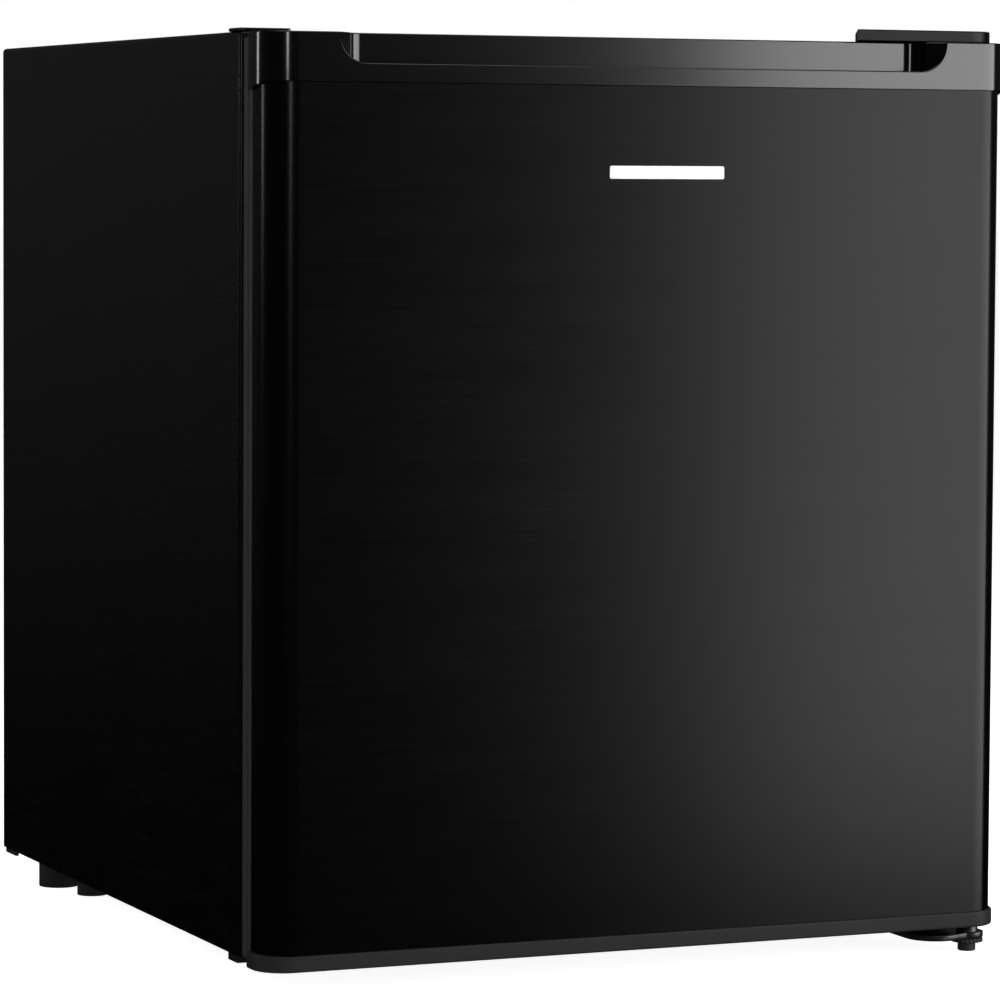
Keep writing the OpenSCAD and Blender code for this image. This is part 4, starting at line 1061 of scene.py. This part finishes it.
class FRIDGE_OT_thermostat(bpy.types.Operator):
    """Builds the thermostat's housing and its ribbed knob"""
    bl_idname = "fridge.thermostat"
    bl_label = "Thermostat"

    def execute(self, context):
        low, high = extent("thermostat_housing")
        outline = lambda d: rounded((low[0], low[2]), (high[0], high[2] + 3), 7.0, d, 8)
        body = slab(outline, low[1], high[1], 2.2, "y")
        made = build("thermostat_case", [body], "white_formed_polystyrene", "cabinet",
                     ("thermostat_housing",))
        points = made.data.vertices
        levels = np.zeros(len(points) * 3)
        points.foreach_get("co", levels)
        levels = levels.reshape(-1, 3)
        levels[:, 2] = np.minimum(levels[:, 2], high[2] * MM)
        points.foreach_set("co", levels.ravel())

        low, high = extent("thermostat_knob")
        x, z = (low[0] + high[0]) / 2, (low[2] + high[2]) / 2
        skirt, reach, front, back = (high[0] - low[0]) / 2, 15.5, low[1], high[1]
        profile = [(4, back), (skirt - 0.6, back), (skirt, back - 0.6), (skirt, back - 3.0),
                   (skirt - 0.8, back - 3.8), (reach, back - 4.0)]
        base = lathe(profile, (x, z), "y", 72)

        def grip(inset):
            """A circle whose radius dips 36 times round."""
            turn = np.linspace(0, 2 * math.pi, 288, endpoint=False)
            out = reach - inset - 0.35 * (0.5 - 0.5 * np.cos(36 * turn))
            return np.column_stack((x + out * np.cos(turn), z + out * np.sin(turn)))
        drum = slab(grip, front + 1.4, back - 3.6, 1.2, "y")
        bar = block((x - 3, front, z - 15.5), (x + 3, back - 4, z + 17), 2.2, 1.0, "y")
        build("thermostat_knob_ribbed", [base, drum, bar], "white_formed_polystyrene", "thermostat",
              ("thermostat_knob",))

        # The numbers' dots: small raised marks on the knob's skirt, from 0 to 7
        turn = np.radians(np.linspace(225, -45, 8))
        dot, ring_r = round_rows(back - 4.4, back - 3.2, 0.75, 0.3), 17.2
        dots = [lathe(dot, (x + ring_r * math.cos(a), z + ring_r * math.sin(a)), "y", 12) for a in turn]
        build("thermostat_scale_dots", dots, "dark_grey_moulded_abs", "thermostat")
        return {"FINISHED"}


# ------------------------------------------------------------ behind

class FRIDGE_OT_compressor(bpy.types.Operator):
    """Builds the compressor and what stands round it in the bay"""
    bl_idname = "fridge.compressor"
    bl_label = "Compressor bay"

    def execute(self, context):
        low, high = extent("compressor")
        x, y = (low[:2] + high[:2]) / 2
        reach, foot, head = 56.0, low[2] + 2.5, high[2]
        waist = (foot + head) / 2
        bend = np.radians(np.linspace(0, 90, 11))
        lower = [(reach - 26 + 26 * math.sin(t), foot + 15 * (1 - math.cos(t))) for t in bend]
        upper = [(reach - 30 + 30 * math.cos(t), head - 26 + 26 * math.sin(t)) for t in bend]
        seam = [(reach, waist - 2.4), (reach + 2.4, waist - 2.0), (reach + 3, waist - 1.4), (reach + 3, waist + 1.4),
                (reach + 2.4, waist + 2.0), (reach, waist + 2.4)]
        can = lathe([(2, foot)] + lower + seam + upper + [(2, head)], (x, y), sides=96)
        half_plate = 51.0
        plate = block((low[0], y - half_plate, low[2]), (high[0], y + half_plate, low[2] + 2.6), 14.0, 0.6)
        build("compressor_can", [can, plate], "black_dipped_steel", "cabinet", ("compressor",),
              sharp=50)

        low, high = extent("compressor_grommets")
        parts = []
        for gx in (low[0] + 8, high[0] - 8):
            for gy in (low[1] + 8, high[1] - 8):
                z0, z1 = low[2], high[2]
                middle = (z0 + z1) / 2
                profile = [(2, z0), (7.4, z0), (8, z0 + 0.6), (8, middle - 1.6), (6.2, middle - 0.7),
                           (6.2, middle + 0.7), (8, middle + 1.6), (8, z1 - 0.6), (7.4, z1), (2, z1)]
                parts.append(lathe(profile, (gx, gy), sides=28))
        build("compressor_grommets_grooved", parts, "black_moulded_rubber", "cabinet",
              ("compressor_grommets",))

        low, high = extent("suction_tube")
        tx, ty, radius = low[0] + 3.2, (low[1] + high[1]) / 2, 3.0
        bow = arc((tx + 9, 95), 9, 180, 270, 10)[::-1]
        path = np.array([(high[0] - 0.1, ty, 86.0), (tx + 14, ty, 86.0)] + [(a, ty, b) for a, b in bow]
                        + [(tx, ty, 110.0), (tx, ty, high[2] - 0.5)])
        build("suction_tube_bent", [tube(path, radius, (0, 1, 0), 16)], "drawn_copper", "cabinet",
              ("suction_tube",))

        low, high = extent("filter_drier")
        fx, fy = (low[:2] + high[:2]) / 2
        profile = [(2.3, low[2]), (2.3, 39.0), (3.2, 40.5), (7.4, 45.0), (8.0, 47.0), (8.0, 102.0), (7.4, 104.5),
                   (3.2, 109.0), (2.3, 110.5), (2.3, high[2])]
        build("filter_drier_swaged", [lathe(profile, (fx, fy), sides=40)], "drawn_copper", "cabinet",
              ("filter_drier",))

        low, high = extent("drain_water_pan")
        pan = rings(lambda d: rounded(low[:2], high[:2], 7.0, d, 8),
                    bowl_rows(low[2], high[2], 2.0, 2.5, 3.0, 1.0))
        build("drain_water_pan_moulding", [shell(pan)], "dark_grey_moulded_abs", "cabinet",
              ("drain_water_pan",))
        soften("terminal_cover", "black_moulded_abs", "cabinet", 1.5)
        soften("cord_gland", "black_moulded_abs", "cabinet", 0.8)
        return {"FINISHED"}


class FRIDGE_OT_condenser(bpy.types.Operator):
    """Builds the wire-and-tube condenser on the back"""
    bl_idname = "fridge.condenser"
    bl_label = "Condenser"

    def execute(self, context):
        low, high = extent("condenser_tube")
        radius = 2.4
        y = (low[1] + high[1]) / 2
        top, foot = high[2] - radius, low[2] + radius
        runs = 10
        pitch = (top - foot) / (runs - 1)
        bow = pitch / 2
        reach = 165.0
        path = []
        for k in range(runs):
            z, side = top - k * pitch, 1 if k % 2 == 0 else -1
            path += [(-side * reach, y, z), (0.0, y, z), (side * reach, y, z)]
            if k < runs - 1:
                turn = np.radians(np.linspace(0, 180, 13)[1:-1])
                path += [(side * (reach + bow * math.sin(t)), y, z - bow + bow * math.cos(t)) for t in turn]
        build("condenser_tube_bent", [tube(path, radius - 0.02, (0, 1, 0), 14)], "black_dipped_steel", "cabinet",
              ("condenser_tube",), sharp=60)

        low, high = extent("condenser_wires")
        wire_r, parts = 0.78, []
        for x in np.linspace(-reach + 8, reach - 8, 22):
            for side in (-1, 1):
                wy = y + side * (radius + wire_r + 0.05)
                parts.append(rod((x, wy, low[2]), (x, wy, high[2]), wire_r, 8, 0.3))
        for bx in (-150.0, 150.0):
            for bz in (low[2] + 20, high[2] - 26):
                parts.append(block((bx - 6, BACK_Y, bz - 5), (bx + 6, BACK_Y + 2.8, bz + 5), 1.0, 0.4, "y"))
        build("condenser_wires_welded", parts, "black_dipped_steel", "cabinet",
              ("condenser_wires",), sharp=60)
        return {"FINISHED"}


class FRIDGE_PT_panel(bpy.types.Panel):
    """Lists the pieces of the refrigerator in the order in which they are built"""
    bl_label = "Compact Refrigerator"
    bl_idname = "FRIDGE_PT_panel"
    bl_space_type = "VIEW_3D"
    bl_region_type = "UI"
    bl_category = "Refrigerator"

    def draw(self, context):
        for group in (context.scene.fridge_stage, context.scene.fridge_look, context.scene.fridge_shape):
            column = self.layout.column(align=True)
            for name in group.__annotations__:
                column.prop(group, name)
        for operator in OPERATORS:
            self.layout.operator(operator.bl_idname)


OPERATORS = (
    FRIDGE_OT_finishes, FRIDGE_OT_stage, FRIDGE_OT_cabinet, FRIDGE_OT_door, FRIDGE_OT_top_cap, FRIDGE_OT_seal,
    FRIDGE_OT_hinges, FRIDGE_OT_feet, FRIDGE_OT_liners, FRIDGE_OT_racks, FRIDGE_OT_shelf, FRIDGE_OT_ice_box,
    FRIDGE_OT_thermostat, FRIDGE_OT_compressor, FRIDGE_OT_condenser,
)
CLASSES = (FridgeStageSettings, FridgeLookSettings, FridgeShapeSettings) + OPERATORS + (FRIDGE_PT_panel,)


def register():
    for kind in CLASSES:
        bpy.utils.register_class(kind)
    bpy.types.Scene.fridge_stage = PointerProperty(type=FridgeStageSettings)
    bpy.types.Scene.fridge_look = PointerProperty(type=FridgeLookSettings)
    bpy.types.Scene.fridge_shape = PointerProperty(type=FridgeShapeSettings)


def unregister():
    del bpy.types.Scene.fridge_shape, bpy.types.Scene.fridge_look, bpy.types.Scene.fridge_stage
    for kind in reversed(CLASSES):
        bpy.utils.unregister_class(kind)


def main():
    register()
    for operator in OPERATORS:
        family, name = operator.bl_idname.split(".")
        if getattr(getattr(bpy.ops, family), name)() != {"FINISHED"}:
            raise RuntimeError(operator.bl_idname + " did not finish")


if __name__ == "__main__":
    main()
